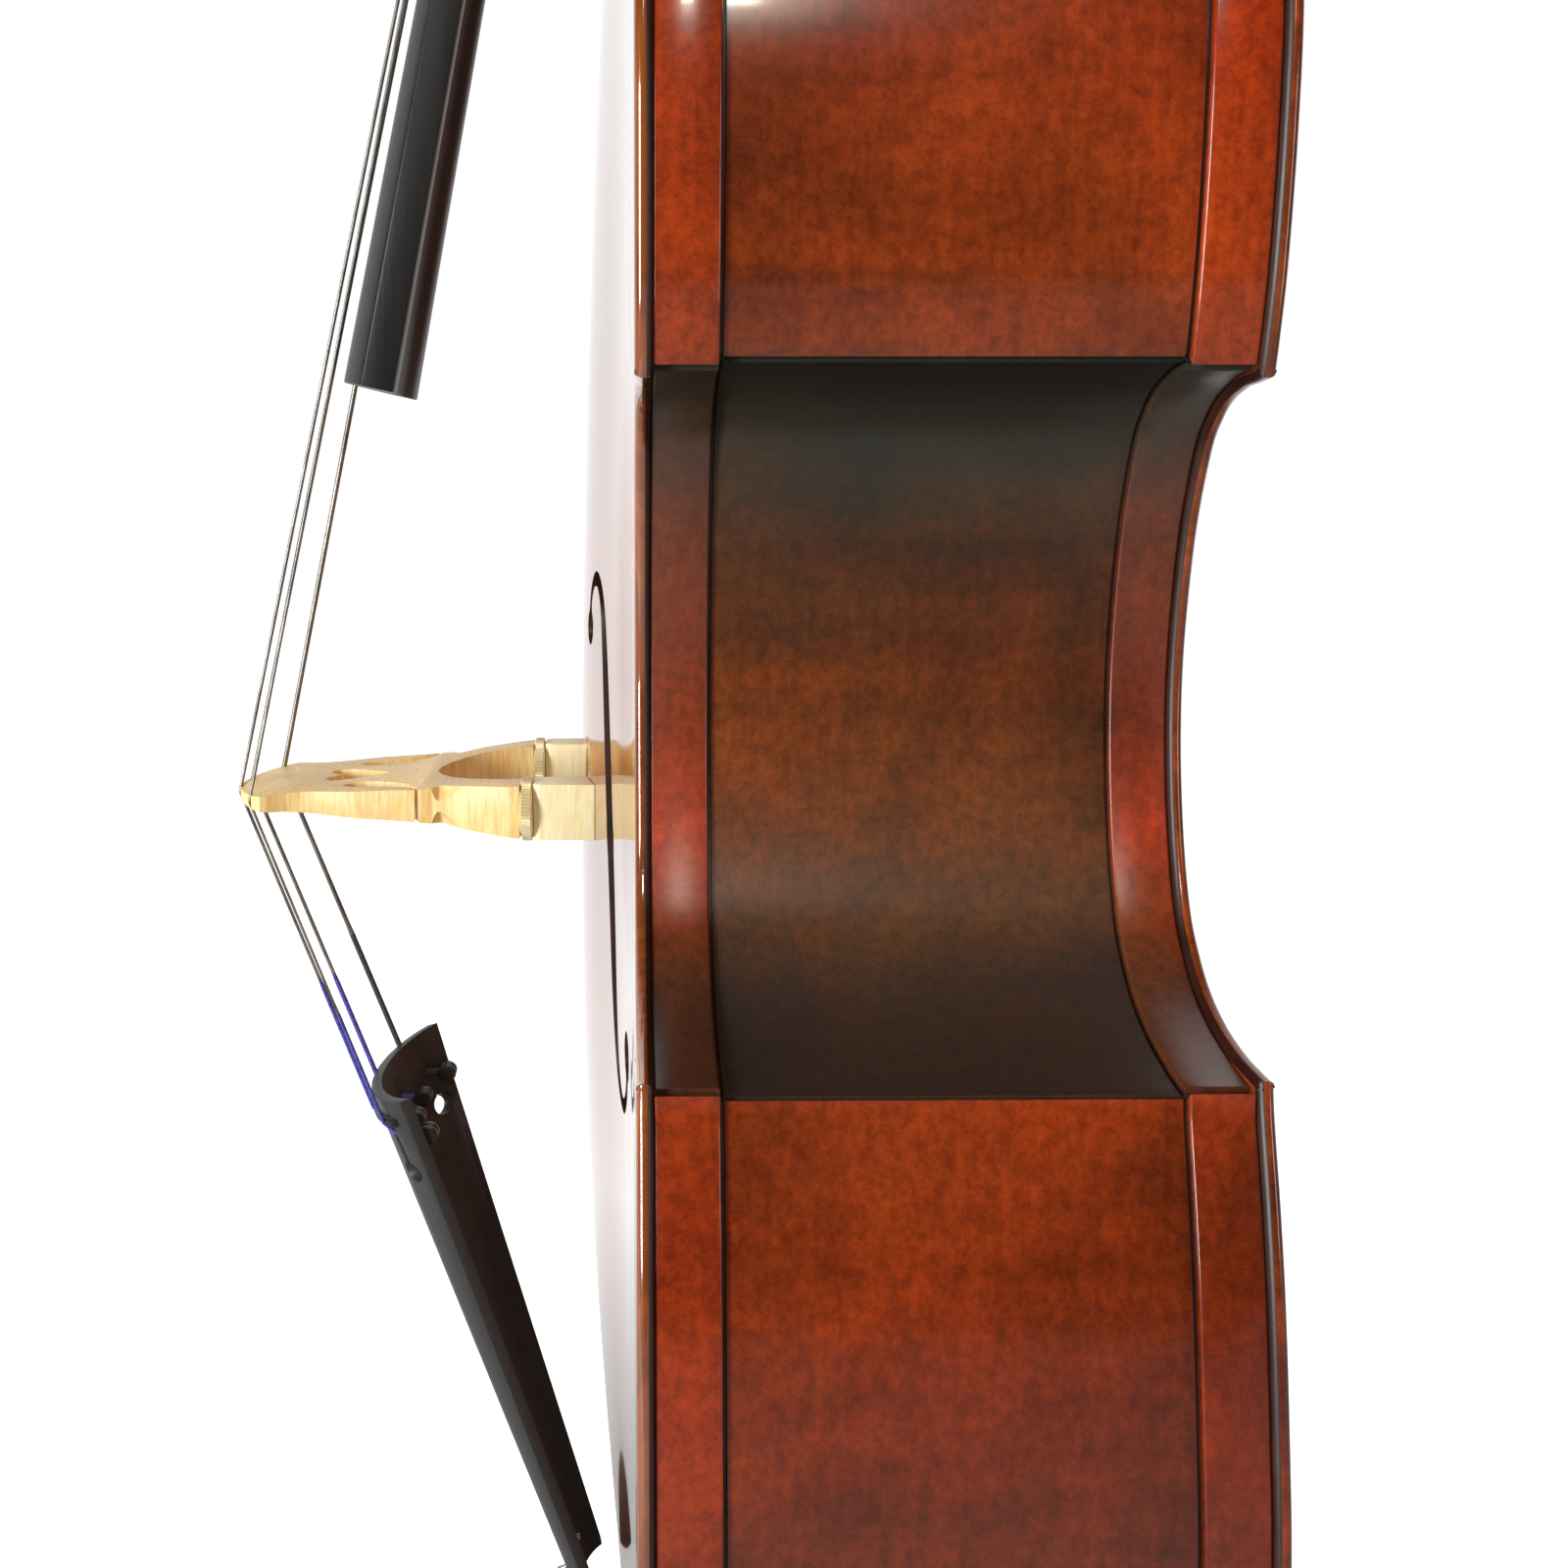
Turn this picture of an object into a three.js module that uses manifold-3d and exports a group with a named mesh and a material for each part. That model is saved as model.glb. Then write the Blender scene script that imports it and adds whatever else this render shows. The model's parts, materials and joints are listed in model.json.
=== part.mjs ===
// Three-quarter size double bass, built piece by piece.
// Millimetres. +Z is up, the belly faces -Y, the treble side is +X.
// The origin is the middle of the endpin's rubber foot on the floor.
import * as THREE from 'three';
import { mergeVertices } from 'three/addons/utils/BufferGeometryUtils.js';
import Module from 'manifold-3d';

const wasm = await Module();
wasm.setup();

// ---- driving dimensions -------------------------------------------------
const BRIDGE_Z = 685;            // height of the bridge line above the floor
const BODY_TOP = BRIDGE_Z + 605;
const BODY_BOTTOM = BRIDGE_Z - 505;
const HALF_DEPTH = 111.25;       // centre plane to a plate's outer edge plane
const PLATE_T = 6.3;
const BELLY_ARCH = 27;
const BACK_ARCH = 22;
const GAP = 0.3;                 // clearance between neighbouring pieces

const RIB_INSET = 5.5;           // plate edge to the ribs' outer face
const RIB_T = 2.5;
const LINING_T = 3;
const LINING_W = 23;
const CORNER_OVERHANG = 2.2;     // extra overhang at the four corners

const NUT_Z = BRIDGE_Z + 1022;
const BOARD_TILT = THREE.MathUtils.degToRad(12.64);
const BOARD_END_Y = -254.85;     // crown of the fingerboard at its free end
const BOARD_END_Z = BRIDGE_Z + 205.5;
const BOARD_LENGTH = 832;
const BOARD_HALF_W = [43, 21.5];
const BOARD_HEIGHT = [30.3, 12];
const BOARD_RADIUS = [70, 45];

const BRIDGE_TOP = 202.6;        // bridge height above the belly's edge plane
const BRIDGE_TOP_R = 69;
const LEG_BOTTOM = 55;
const LEG_X = 56;
const WHEEL_R = 15.6;
const WHEEL_T = 6;
const STEM_R = 4;
const STEM_BORE_R = 4.3;

const STRING_X_BRIDGE = { g: 39, d: 13, a: -13, e: -39 };
const STRING_X_NUT = { g: 15.6, d: 5.2, a: -5.2, e: -15.6 };
const STRING_R = { g: 0.75, d: 0.9, a: 1.1, e: 1.35 };
const STRING_ORDER = ['g', 'd', 'a', 'e'];

const TAIL_TOP_Z = BRIDGE_Z - 158.5;
const TAIL_LENGTH = 318;
const TAIL_HALF_W = [56, 25];
const TAIL_HEIGHT = [23.5, 11];
const TAIL_T = 5.5;

const PEG_TILT = THREE.MathUtils.degToRad(20.6);
const PEG_ORIGIN_Y = -61.5;      // front of the pegbox where it leaves the nut
const PEG_HALF_W = 27;
const POST_A = { g: 44, e: 80, d: 116, a: 152 };
const POST_B = 22;
const POST_R = 6;
const GEAR_TEETH = 20;
const GEAR_MODULE = 1.68;
const GEAR_PITCH_R = GEAR_TEETH * GEAR_MODULE / 2;
const GEAR_T = 4;
const WORM_PITCH_R = 5.5;
const WORM_LEAD = Math.PI * GEAR_MODULE;

const ENDPIN_R = 5;
const ENDPIN_TOP = 245;

const COLOURS = {
  belly: 0xb5561f, back: 0x9c3f17, rib: 0xa6421a, edge: 0xb54a1e, block: 0xd9b98a,
  neck: 0x8f3d18, ebony: 0x171414, bridge: 0xeed9a6, brass: 0xcaa24a, steel: 0x9a9ea3,
  string: 0x55534f, rubber: 0x1b1b1c, wheel: 0xd8bd74,
};

// ---- small tools --------------------------------------------------------
function solidOf(geometry) {
  const bare = geometry.clone();
  bare.deleteAttribute('normal');
  bare.deleteAttribute('uv');
  const merged = mergeVertices(bare, 1e-4);
  return new wasm.Manifold(new wasm.Mesh({
    numProp: 3,
    vertProperties: new Float32Array(merged.attributes.position.array),
    triVerts: new Uint32Array(merged.index.array),
  }));
}

function geometryOf(solid) {
  const mesh = solid.getMesh();
  const geometry = new THREE.BufferGeometry();
  geometry.setAttribute('position', new THREE.BufferAttribute(new Float32Array(mesh.vertProperties), 3));
  geometry.setIndex(new THREE.BufferAttribute(new Uint32Array(mesh.triVerts), 1));
  return geometry;
}

function join(...parts) {
  return geometryOf(parts.map(solidOf).reduce((sum, part) => sum.add(part)));
}

function cut(base, ...tools) {
  return geometryOf(tools.map(solidOf).reduce((rest, tool) => rest.subtract(tool), solidOf(base)));
}

function common(a, b) {
  return geometryOf(solidOf(a).intersect(solidOf(b)));
}

function place(geometry, origin, xAxis, yAxis, zAxis) {
  const matrix = new THREE.Matrix4().makeBasis(xAxis, yAxis, zAxis).setPosition(origin);
  return geometry.applyMatrix4(matrix);
}

const v3 = (x, y, z) => new THREE.Vector3(x, y, z);
const lerp = THREE.MathUtils.lerp;
const UNIT_X = v3(1, 0, 0);
const UNIT_Y = v3(0, 1, 0);
const UNIT_Z = v3(0, 0, 1);

// A round bar from one point to another, with an optional second radius.
function rod(from, to, radius, segments = 16, endRadius = radius) {
  const along = to.clone().sub(from);
  const geometry = new THREE.CylinderGeometry(endRadius, radius, along.length(), segments);
  const turn = new THREE.Quaternion().setFromUnitVectors(UNIT_Y, along.clone().normalize());
  geometry.applyQuaternion(turn);
  const middle = from.clone().add(to).multiplyScalar(0.5);
  return geometry.translate(middle.x, middle.y, middle.z);
}

function box(x0, x1, y0, y1, z0, z1) {
  const geometry = new THREE.BoxGeometry(x1 - x0, y1 - y0, z1 - z0);
  return geometry.translate((x0 + x1) / 2, (y0 + y1) / 2, (z0 + z1) / 2);
}

// A flat outline in (x, z), pushed along Y from y0 to y1.
function slabY(points, y0, y1) {
  const geometry = prism(points, y1 - y0);
  return place(geometry, v3(0, y1, 0), UNIT_X, UNIT_Z, v3(0, -1, 0));
}

// A flat outline in (y, z), pushed along X from x0 to x1.
function slabX(points, x0, x1) {
  return place(prism(points, x1 - x0), v3(x0, 0, 0), UNIT_Y, UNIT_Z, UNIT_X);
}

function prism(points, depth, holes = []) {
  const shape = new THREE.Shape(points.map(([x, y]) => new THREE.Vector2(x, y)));
  shape.holes = holes.map((hole) => new THREE.Path(hole.map(([x, y]) => new THREE.Vector2(x, y))));
  return new THREE.ExtrudeGeometry(shape, { depth, bevelEnabled: false, curveSegments: 8 });
}

// Closes a stack of rings, each with the same number of points, into a solid.
function loft(rings) {
  const count = rings[0].length;
  const positions = rings.flat().flatMap((p) => [p.x, p.y, p.z]);
  const index = [];
  for (let i = 0; i + 1 < rings.length; i += 1) {
    for (let j = 0; j < count; j += 1) {
      const a = i * count + j;
      const b = i * count + (j + 1) % count;
      index.push(a, b, a + count, b, b + count, a + count);
    }
  }
  for (const [ring, flip] of [[0, true], [rings.length - 1, false]]) {
    capTriangles(rings[ring]).forEach(([a, b, c]) => {
      const base = ring * count;
      index.push(base + a, base + (flip ? c : b), base + (flip ? b : c));
    });
  }
  const geometry = new THREE.BufferGeometry();
  geometry.setAttribute('position', new THREE.Float32BufferAttribute(positions, 3));
  geometry.setIndex(signedVolume(positions, index) < 0 ? index.reverse() : index);
  return geometry;
}

function signedVolume(positions, index) {
  const point = (i) => v3(...positions.slice(3 * i, 3 * i + 3));
  let sum = 0;
  for (let i = 0; i < index.length; i += 3) {
    sum += point(index[i]).dot(point(index[i + 1]).cross(point(index[i + 2])));
  }
  return sum;
}

// Triangles of a flat ring, wound so that they agree with the ring's own order.
function capTriangles(ring) {
  const normal = v3(0, 0, 0);
  ring.forEach((p, i) => normal.add(p.clone().cross(ring[(i + 1) % ring.length])));
  normal.normalize();
  const side = Math.abs(normal.x) > 0.9 ? UNIT_Y : UNIT_X;
  const u = side.clone().sub(normal.clone().multiplyScalar(side.dot(normal))).normalize();
  const v = normal.clone().cross(u);
  const flat = ring.map((p) => new THREE.Vector2(p.dot(u), p.dot(v)));
  return THREE.ShapeUtils.triangulateShape(flat, []);
}

function sweep(points, radius, segments = 8, smooth = false) {
  const path = smooth ? new THREE.CatmullRomCurve3(points, false, 'centripetal') : straightPath(points);
  const ring = Array.from({ length: segments }, (_, i) => {
    const angle = (i / segments) * 2 * Math.PI;
    return [radius * Math.cos(angle), radius * Math.sin(angle)];
  });
  const shape = new THREE.Shape(ring.map(([x, y]) => new THREE.Vector2(x, y)));
  const steps = smooth ? points.length * 3 : points.length - 1;
  return new THREE.ExtrudeGeometry(shape, { steps, extrudePath: path, bevelEnabled: false });
}

// A path whose equal steps land exactly on the given corner points.
function straightPath(points) {
  const curve = new THREE.CatmullRomCurve3(points);
  const last = points.length - 1;
  curve.getPoint = (t, target = v3(0, 0, 0)) => {
    const i = Math.min(Math.floor(t * last + 1e-9), last - 1);
    return target.lerpVectors(points[i], points[i + 1], t * last - i);
  };
  curve.getPointAt = curve.getPoint;
  curve.getTangent = (t, target = v3(0, 0, 0)) => {
    const near = Math.round(t * last);
    const before = points[Math.max(near - 1, 0)];
    const after = points[Math.min(near + 1, last)];
    return target.subVectors(after, before).normalize();
  };
  curve.getTangentAt = curve.getTangent;
  return curve;
}

// ---- body outline -------------------------------------------------------
// Half outline of the plates, in (x, height above the bridge line).
const UPPER_EDGE = [
  [0, 605], [34, 604.5], [58, 590], [96, 560], [142, 522], [190, 474], [226, 424],
  [249, 370], [258, 318], [260, 275], [258.5, 232], [254.9, 205], [252.6, 193.8],
];
const MIDDLE_EDGE = [
  [252.6, 193.8], [243, 192.6], [232, 191.4], [217, 187.2], [206, 180], [196, 168],
  [184, 136], [178, 92], [180, 55], [188, 20], [200, -9], [213, -24.6], [228, -35.6],
  [246, -42.6], [264, -45.9], [277, -46.6], [288.8, -46.8],
];
const LOWER_EDGE = [
  [288.8, -46.8], [292, -60], [302, -90], [311, -121], [321, -165], [328.5, -205],
  [334, -262], [331, -322], [314, -384], [280, -436], [226, -473], [155, -495], [80, -503.5], [0, -505],
];

function edgeCurve(points, count) {
  const curve = new THREE.SplineCurve(points.map(([x, z]) => new THREE.Vector2(x, z + BRIDGE_Z)));
  return curve.getPoints(count).map((p) => [p.x, p.y]);
}

const UPPER = edgeCurve(UPPER_EDGE, 14);
const MIDDLE = edgeCurve(MIDDLE_EDGE, 18);
const LOWER = edgeCurve(LOWER_EDGE, 14);
const CORNERS = [UPPER[UPPER.length - 1], LOWER[0]];

// Moves an outline towards the inside of the body.
function inset(points, distance, cornerExtra = 0) {
  return points.map(([x, z], i) => {
    const [x0, z0] = points[Math.max(i - 1, 0)];
    const [x1, z1] = points[Math.min(i + 1, points.length - 1)];
    const length = Math.hypot(x1 - x0, z1 - z0);
    const near = Math.min(...CORNERS.map(([cx, cz]) => Math.hypot(x - cx, z - cz)));
    const shift = distance + cornerExtra * Math.exp(-((near / 22) ** 2));
    const moved = [x + ((z1 - z0) / length) * shift, z - ((x1 - x0) / length) * shift];
    return [Math.max(moved[0], GAP / 2), moved[1]];
  });
}

// One run of rib outline at a distance inside the plate edge, trimmed at its corners.
// Every distance keeps the same points, so two runs can be joined one to one.
function ribRun(part, distance) {
  const cornerZ = [MIDDLE[0], MIDDLE[MIDDLE.length - 1]].map((_, i) => (
    inset(MIDDLE, distance, CORNER_OVERHANG)[i * (MIDDLE.length - 1)][1]));
  if (part === 'upper') {
    const run = inset(UPPER, distance).filter((_, i) => UPPER[i][1] > CORNERS[0][1] + 16);
    return [...run, [run[run.length - 1][0] - 2.2, cornerZ[0]]];
  }
  if (part === 'lower') {
    const run = inset(LOWER, distance).filter((_, i) => LOWER[i][1] < CORNERS[1][1] - 16);
    return [[run[0][0] - 7.8, cornerZ[1]], ...run];
  }
  const inner = RIB_INSET + RIB_T + GAP;
  const [firstX, lastX] = [ribRun('upper', inner).pop()[0], ribRun('lower', inner)[0][0]];
  const kept = inset(MIDDLE, distance, CORNER_OVERHANG).filter((_, i) => (
    MIDDLE[i][0] < (i < MIDDLE.length / 2 ? firstX : lastX) - 4));
  return [[firstX, kept[0][1] + 0.1], ...kept, [lastX, kept[kept.length - 1][1] - 0.1]];
}

// A bent board between two distances inside the plate edge.
function ribbon(part, side, outer, inner, y0, y1) {
  const inside = ribRun(part, inner);
  const rings = ribRun(part, outer).map(([x, z], i) => [
    v3(side * x, y0, z), v3(side * x, y1, z),
    v3(side * inside[i][0], y1, inside[i][1]), v3(side * inside[i][0], y0, inside[i][1]),
  ]);
  return loft(rings);
}

const mirrored = (points, side) => (side > 0 ? points : points.map(([x, z]) => [-x, z]).reverse());

// ---- plates -------------------------------------------------------------
function plateRows(extra = []) {
  const edge = [...UPPER.filter(([x]) => x > 33), ...MIDDLE.slice(1), ...LOWER.slice(1, -1)];
  const rows = [[34, BODY_TOP - 0.5], ...edge, [30, BODY_BOTTOM + 0.3]];
  const sorted = [...extra, ...rows];
  for (let i = 1; i < sorted.length; i += 1) {
    sorted[i] = [sorted[i][0], Math.min(sorted[i][1], sorted[i - 1][1] - 0.15)];
  }
  return sorted;
}

// Height of a plate's arch above its own edge plane.
function arch(x, z, halfWidth, height, spread) {
  const along = z - (BRIDGE_Z - 60);
  const reach = along > 0 ? BODY_TOP - BRIDGE_Z + 60 : BRIDGE_Z - 60 - BODY_BOTTOM;
  const lengthwise = Math.max(0, 1 - (Math.abs(along) / reach) ** 1.9);
  const across = Math.exp(-((x / spread) ** 2)) * (1 - Math.min(1, Math.abs(x) / halfWidth) ** 4);
  return height * lengthwise * across;
}

const PLATE_COLUMNS = [-1, -0.72, -0.45, -0.22, 0, 0.22, 0.45, 0.72, 1];

// One arched plate. side -1 is the belly, +1 the back.
function plate(rows, side, height, spread) {
  const outer = (x, z, w) => side * (HALF_DEPTH + arch(x, z, w, height, spread));
  const rings = rows.map(([w, z]) => {
    const line = PLATE_COLUMNS.map((u) => v3(u * w, outer(u * w, z, w), z));
    const under = line.map((p) => v3(p.x, p.y - side * PLATE_T, p.z));
    return [...line, ...under.reverse()];
  });
  return loft(rings);
}

// Centre line and half width of one f-shaped sound hole, treble side.
const F_LINE = [
  [50, 92, 3.2], [54, 104, 2.8], [63, 111.5, 3.2], [74, 111, 4], [84, 101, 5.2], [91, 80, 6.6],
  [98, 45, 7.8], [105, 5, 8.2], [112, -35, 7.8], [118, -75, 6.6], [125, -100.5, 5],
  [135, -113, 3.8], [147, -114.5, 3.4], [158, -105.5, 3.4], [164, -92, 4],
];

function soundHole(side) {
  const at = (i) => F_LINE[Math.min(Math.max(i, 0), F_LINE.length - 1)];
  const edge = (sign) => F_LINE.map(([x, z, w], i) => {
    const dx = at(i + 1)[0] - at(i - 1)[0];
    const dz = at(i + 1)[1] - at(i - 1)[1];
    const length = Math.hypot(dx, dz);
    return [side * (x - sign * (dz / length) * w), BRIDGE_Z + z + sign * (dx / length) * w];
  });
  const outline = [...edge(1), ...edge(-1).reverse()];
  const depth = [-HALF_DEPTH - BELLY_ARCH - 10, -HALF_DEPTH + PLATE_T + 10];
  const upperEye = rod(v3(side * 51, depth[0], BRIDGE_Z + 88), v3(side * 51, depth[1], BRIDGE_Z + 88), 8.5, 14);
  const [eyeX, eyeZ] = [side * 162, BRIDGE_Z - 86];
  const lowerEye = rod(v3(eyeX, depth[0], eyeZ), v3(eyeX, depth[1], eyeZ), 11, 16);
  const nicks = slabY([[side * 92, BRIDGE_Z], [side * 105, BRIDGE_Z - 3.5], [side * 118, BRIDGE_Z],
    [side * 105, BRIDGE_Z + 3.5]], depth[0], depth[1]);
  return [slabY(outline, depth[0], depth[1]), upperEye, lowerEye, nicks];
}

const SADDLE = { halfWidth: 32, depth: 12, height: 9 };

function belly() {
  const blank = plate(plateRows(), -1, BELLY_ARCH, 112);
  const seat = box(-SADDLE.halfWidth, SADDLE.halfWidth, -HALF_DEPTH - 12, -HALF_DEPTH + PLATE_T + 2,
    BODY_BOTTOM - 4, BODY_BOTTOM + SADDLE.depth);
  return cut(blank, ...soundHole(1), ...soundHole(-1), seat);
}

const BUTTON = [[7, BODY_TOP + 36], [17, BODY_TOP + 32], [24, BODY_TOP + 23], [27, BODY_TOP + 8]];

function back() {
  return plate(plateRows(BUTTON), 1, BACK_ARCH, 150);
}

// ---- ribs, linings and blocks ---------------------------------------------
const RIB_Y = HALF_DEPTH - PLATE_T - GAP;

function endpinBore() {
  return rod(v3(0, 0, BODY_BOTTOM - 10), v3(0, 0, BODY_BOTTOM + 60), 13 + GAP, 24);
}

function rib(part, side) {
  const slab = ribbon(part, side, RIB_INSET, RIB_INSET + RIB_T, -RIB_Y, RIB_Y);
  return part === 'lower' ? cut(slab, endpinBore()) : slab;
}

function lining(part, side, face) {
  const [y0, y1] = face < 0 ? [-RIB_Y, -RIB_Y + LINING_W] : [RIB_Y - LINING_W, RIB_Y];
  return ribbon(part, side, RIB_INSET - LINING_T, RIB_INSET - GAP, y0, y1);
}

function cornerBlock(which, side) {
  const bout = ribRun(which, RIB_INSET + RIB_T + GAP);
  const waist = ribRun('middle', RIB_INSET + RIB_T + GAP);
  const near = ([x, z]) => Math.hypot(x - CORNERS[which === 'upper' ? 0 : 1][0],
    z - CORNERS[which === 'upper' ? 0 : 1][1]) < 66;
  const outline = which === 'upper'
    ? [...bout.slice(0, -1).filter(near), ...waist.slice(1).filter(near)]
    : [...waist.slice(0, -1).filter(near), ...bout.slice(1).filter(near)];
  return slabY(mirrored(outline, side), -RIB_Y, RIB_Y);
}

function neckBlock() {
  return box(-27, 27, -RIB_Y, RIB_Y, BODY_TOP - 62, BODY_TOP - RIB_INSET - RIB_T - 1.2);
}

function endBlock() {
  const low = BODY_BOTTOM + RIB_INSET + RIB_T + 1;
  return cut(box(-58, 58, -RIB_Y, RIB_Y, low, low + 30), endpinBore());
}

function bassBar() {
  const z = Array.from({ length: 13 }, (_, i) => BRIDGE_Z - 300 + i * 52);
  const x = -52;
  const top = z.map((h) => [-HALF_DEPTH - arch(x - 5, h, 180, BELLY_ARCH, 112) + PLATE_T + 1.6, h]);
  const deep = z.map((h, i) => [top[i][0] + 4 + 20 * Math.sin((Math.PI * i) / 12) ** 0.8, h]);
  return slabX([...top, ...deep.reverse()].reverse(), x - 5, x + 5);
}

function soundPost() {
  const [x, z] = [50, BRIDGE_Z - 32];
  const front = -HALF_DEPTH - arch(x + 9, z, 200, BELLY_ARCH, 112) + PLATE_T + 0.8;
  const rear = HALF_DEPTH + arch(x + 9, z, 200, BACK_ARCH, 150) - PLATE_T - 0.8;
  return rod(v3(x, front, z), v3(x, rear, z), 9, 20);
}

function saddle() {
  const z = BODY_BOTTOM;
  const y = -HALF_DEPTH;
  const outline = [[y + PLATE_T - GAP, z - 1.5], [y + PLATE_T - GAP, z + SADDLE.depth - GAP],
    [y - 1, z + SADDLE.depth - GAP], [y - SADDLE.height, z + 5], [y - SADDLE.height, z],
    [y - SADDLE.height + 4, z - 3.5], [y, z - 4.5]];
  return cut(slabX(outline, -SADDLE.halfWidth + GAP, SADDLE.halfWidth - GAP), sweep(tailWirePath(), 2.2, 8));
}

// ---- neck, fingerboard and nut --------------------------------------------
const BOARD_A = v3(0, Math.sin(BOARD_TILT), Math.cos(BOARD_TILT));
const BOARD_N = v3(0, -Math.cos(BOARD_TILT), Math.sin(BOARD_TILT));
const BOARD_END = v3(0, BOARD_END_Y, BOARD_END_Z);

// A point at a distance along the board, across it, and below its crown.
function onBoard(along, across, below) {
  return BOARD_END.clone().addScaledVector(BOARD_A, along).addScaledVector(BOARD_N, -below)
    .add(v3(across, 0, 0));
}

const gluePlane = (() => {
  const low = onBoard(0, 0, BOARD_HEIGHT[0]);
  const high = onBoard(BOARD_LENGTH, 0, BOARD_HEIGHT[1]);
  return (z) => lerp(low.y, high.y, (z - low.z) / (high.z - low.z));
})();

function fingerboard() {
  const ring = (along) => {
    const t = along / BOARD_LENGTH;
    const w = lerp(...BOARD_HALF_W, t);
    const h = lerp(...BOARD_HEIGHT, t);
    const radius = lerp(...BOARD_RADIUS, t);
    const hollow = along < 415 ? 6 : 0;
    const crown = [-1, -0.75, -0.5, -0.25, 0, 0.25, 0.5, 0.75, 1].map((u) => (
      onBoard(along, u * w, radius - Math.sqrt(radius ** 2 - (u * w) ** 2))));
    const under = [1, 0.82, 0.4, 0, -0.4, -0.82, -1].map((u) => (
      onBoard(along, u * w, h - (Math.abs(u) < 0.5 ? hollow : 0))));
    return [...crown, ...under];
  };
  return loft([0, 120, 240, 414, 416, 560, 700, BOARD_LENGTH].map(ring));
}

function nut() {
  const at = (along, below) => {
    const p = onBoard(along, 0, below);
    return [p.y, p.z];
  };
  const from = BOARD_LENGTH + GAP;
  const outline = [at(from, 12), at(from, -1.2), at(from + 7, -0.4), at(from + 9, 1.5), at(from + 9, 12)];
  return cut(slabX(outline.reverse(), -22, 22), ...stringChannels());
}

// Back line of the neck: height above the bridge line, and Y at its deepest.
const NECK_BACK = [
  [605.3, 103.2], [622, 102.6], [640, 98], [656, 84], [672, 60], [688, 30], [704, 1],
  [720, -26], [738, -48], [758, -63], [785, -70.5], [850, -63.5], [930, -48.5], [1006, -35],
];

// A D-shaped section of the neck at a height above the bridge line.
function neckRing(height, front, deep) {
  const w = lerp(...BOARD_HALF_W, (height - 199) / 816) - 0.6;
  const arc = Array.from({ length: 13 }, (_, i) => (i / 12) * Math.PI);
  return arc.map((angle) => v3(w * Math.sign(Math.cos(angle)) * Math.abs(Math.cos(angle)) ** 0.85,
    front + (deep - front) * Math.sin(angle) ** 0.75, BRIDGE_Z + height));
}

function neckShaft() {
  return loft(NECK_BACK.map(([height, deep]) => (
    neckRing(height, gluePlane(BRIDGE_Z + height) + GAP, deep))));
}

// The foot of the heel, let in between the two plates down to the ribs and past their linings.
function heelFoot() {
  const top = BODY_TOP - BRIDGE_Z;
  const crown = 0.45;            // the ribs rise this much beside the middle line
  const foot = loft([top - RIB_INSET + crown + GAP, top + 0.6].map((height) => (
    neckRing(height, -RIB_Y + GAP, NECK_BACK[0][1]))));
  const inner = RIB_Y - LINING_W - GAP;
  const clear = BODY_TOP - RIB_INSET + LINING_T + crown + GAP;
  return cut(foot, box(-60, 60, -RIB_Y - 1, -inner, BODY_TOP - 20, clear),
    box(-60, 60, inner, RIB_Y + 1, BODY_TOP - 20, clear));
}

const PEG_T = v3(0, Math.sin(PEG_TILT), Math.cos(PEG_TILT));
const PEG_M = v3(0, Math.cos(PEG_TILT), -Math.sin(PEG_TILT));
const PEG_ORIGIN = v3(0, PEG_ORIGIN_Y, NUT_Z - 6);

// A point in the pegbox: along it, behind its front face, and sideways.
function inPegbox(along, behind, across) {
  return PEG_ORIGIN.clone().addScaledVector(PEG_T, along).addScaledVector(PEG_M, behind)
    .add(v3(across, 0, 0));
}

function pegSlab(points, x0, x1) {
  const flat = points.map(([a, b]) => {
    const p = inPegbox(a, b, 0);
    return [p.y, p.z];
  });
  const turning = THREE.ShapeUtils.area(flat.map(([x, y]) => new THREE.Vector2(x, y)));
  return slabX(turning > 0 ? flat : flat.reverse(), x0, x1);
}

const SCROLL_CENTRE = [226, 24];

// One turn of the scroll as a closed outline, shrinking as it goes round.
function scrollTurn(startRadius, shrink) {
  return Array.from({ length: 41 }, (_, i) => {
    const angle = (i / 40) * 2 * Math.PI;
    const radius = startRadius * Math.exp(-shrink * angle);
    return [SCROLL_CENTRE[0] + radius * Math.sin(angle), SCROLL_CENTRE[1] + radius * Math.cos(angle)];
  });
}

function scroll() {
  const turns = [[40, 22], [25, 28.5], [14.5, 34]].map(([radius, halfWidth]) => (
    pegSlab(scrollTurn(radius, 0.085), -halfWidth, halfWidth)));
  const throat = pegSlab([[178, 3], [196, 10], [214, 14], [236, 44],
    [230, 62.5], [218, 63.2], [206, 61.5], [178, 56]], -22, 22);
  return [...turns, throat];
}

function neck() {
  const shell = pegSlab([[-16, 5], [6, 0.5], [14, 0], [190, 0], [196, 12], [188, 58.5], [140, 54],
    [70, 48], [30, 40], [0, 29], [-20, 21.5]], -PEG_HALF_W, PEG_HALF_W);
  const hollow = pegSlab([[18, -2], [180, -2], [176, 46], [120, 43], [60, 36], [30, 27]],
    -PEG_HALF_W + 11, PEG_HALF_W - 11);
  const seat = nutSeat();
  const bores = STRING_ORDER.map((name) => rod(inPegbox(POST_A[name], POST_B, -PEG_HALF_W + 4),
    inPegbox(POST_A[name], POST_B, PEG_HALF_W + 4), POST_R + GAP, 18));
  const mirroredBores = bores.map((bore, i) => (tunerSide(STRING_ORDER[i]) > 0 ? bore : flipX(bore)));
  const whole = join(neckShaft(), heelFoot(), shell, ...scroll());
  return cut(whole, hollow, seat, ...mirroredBores);
}

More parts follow.
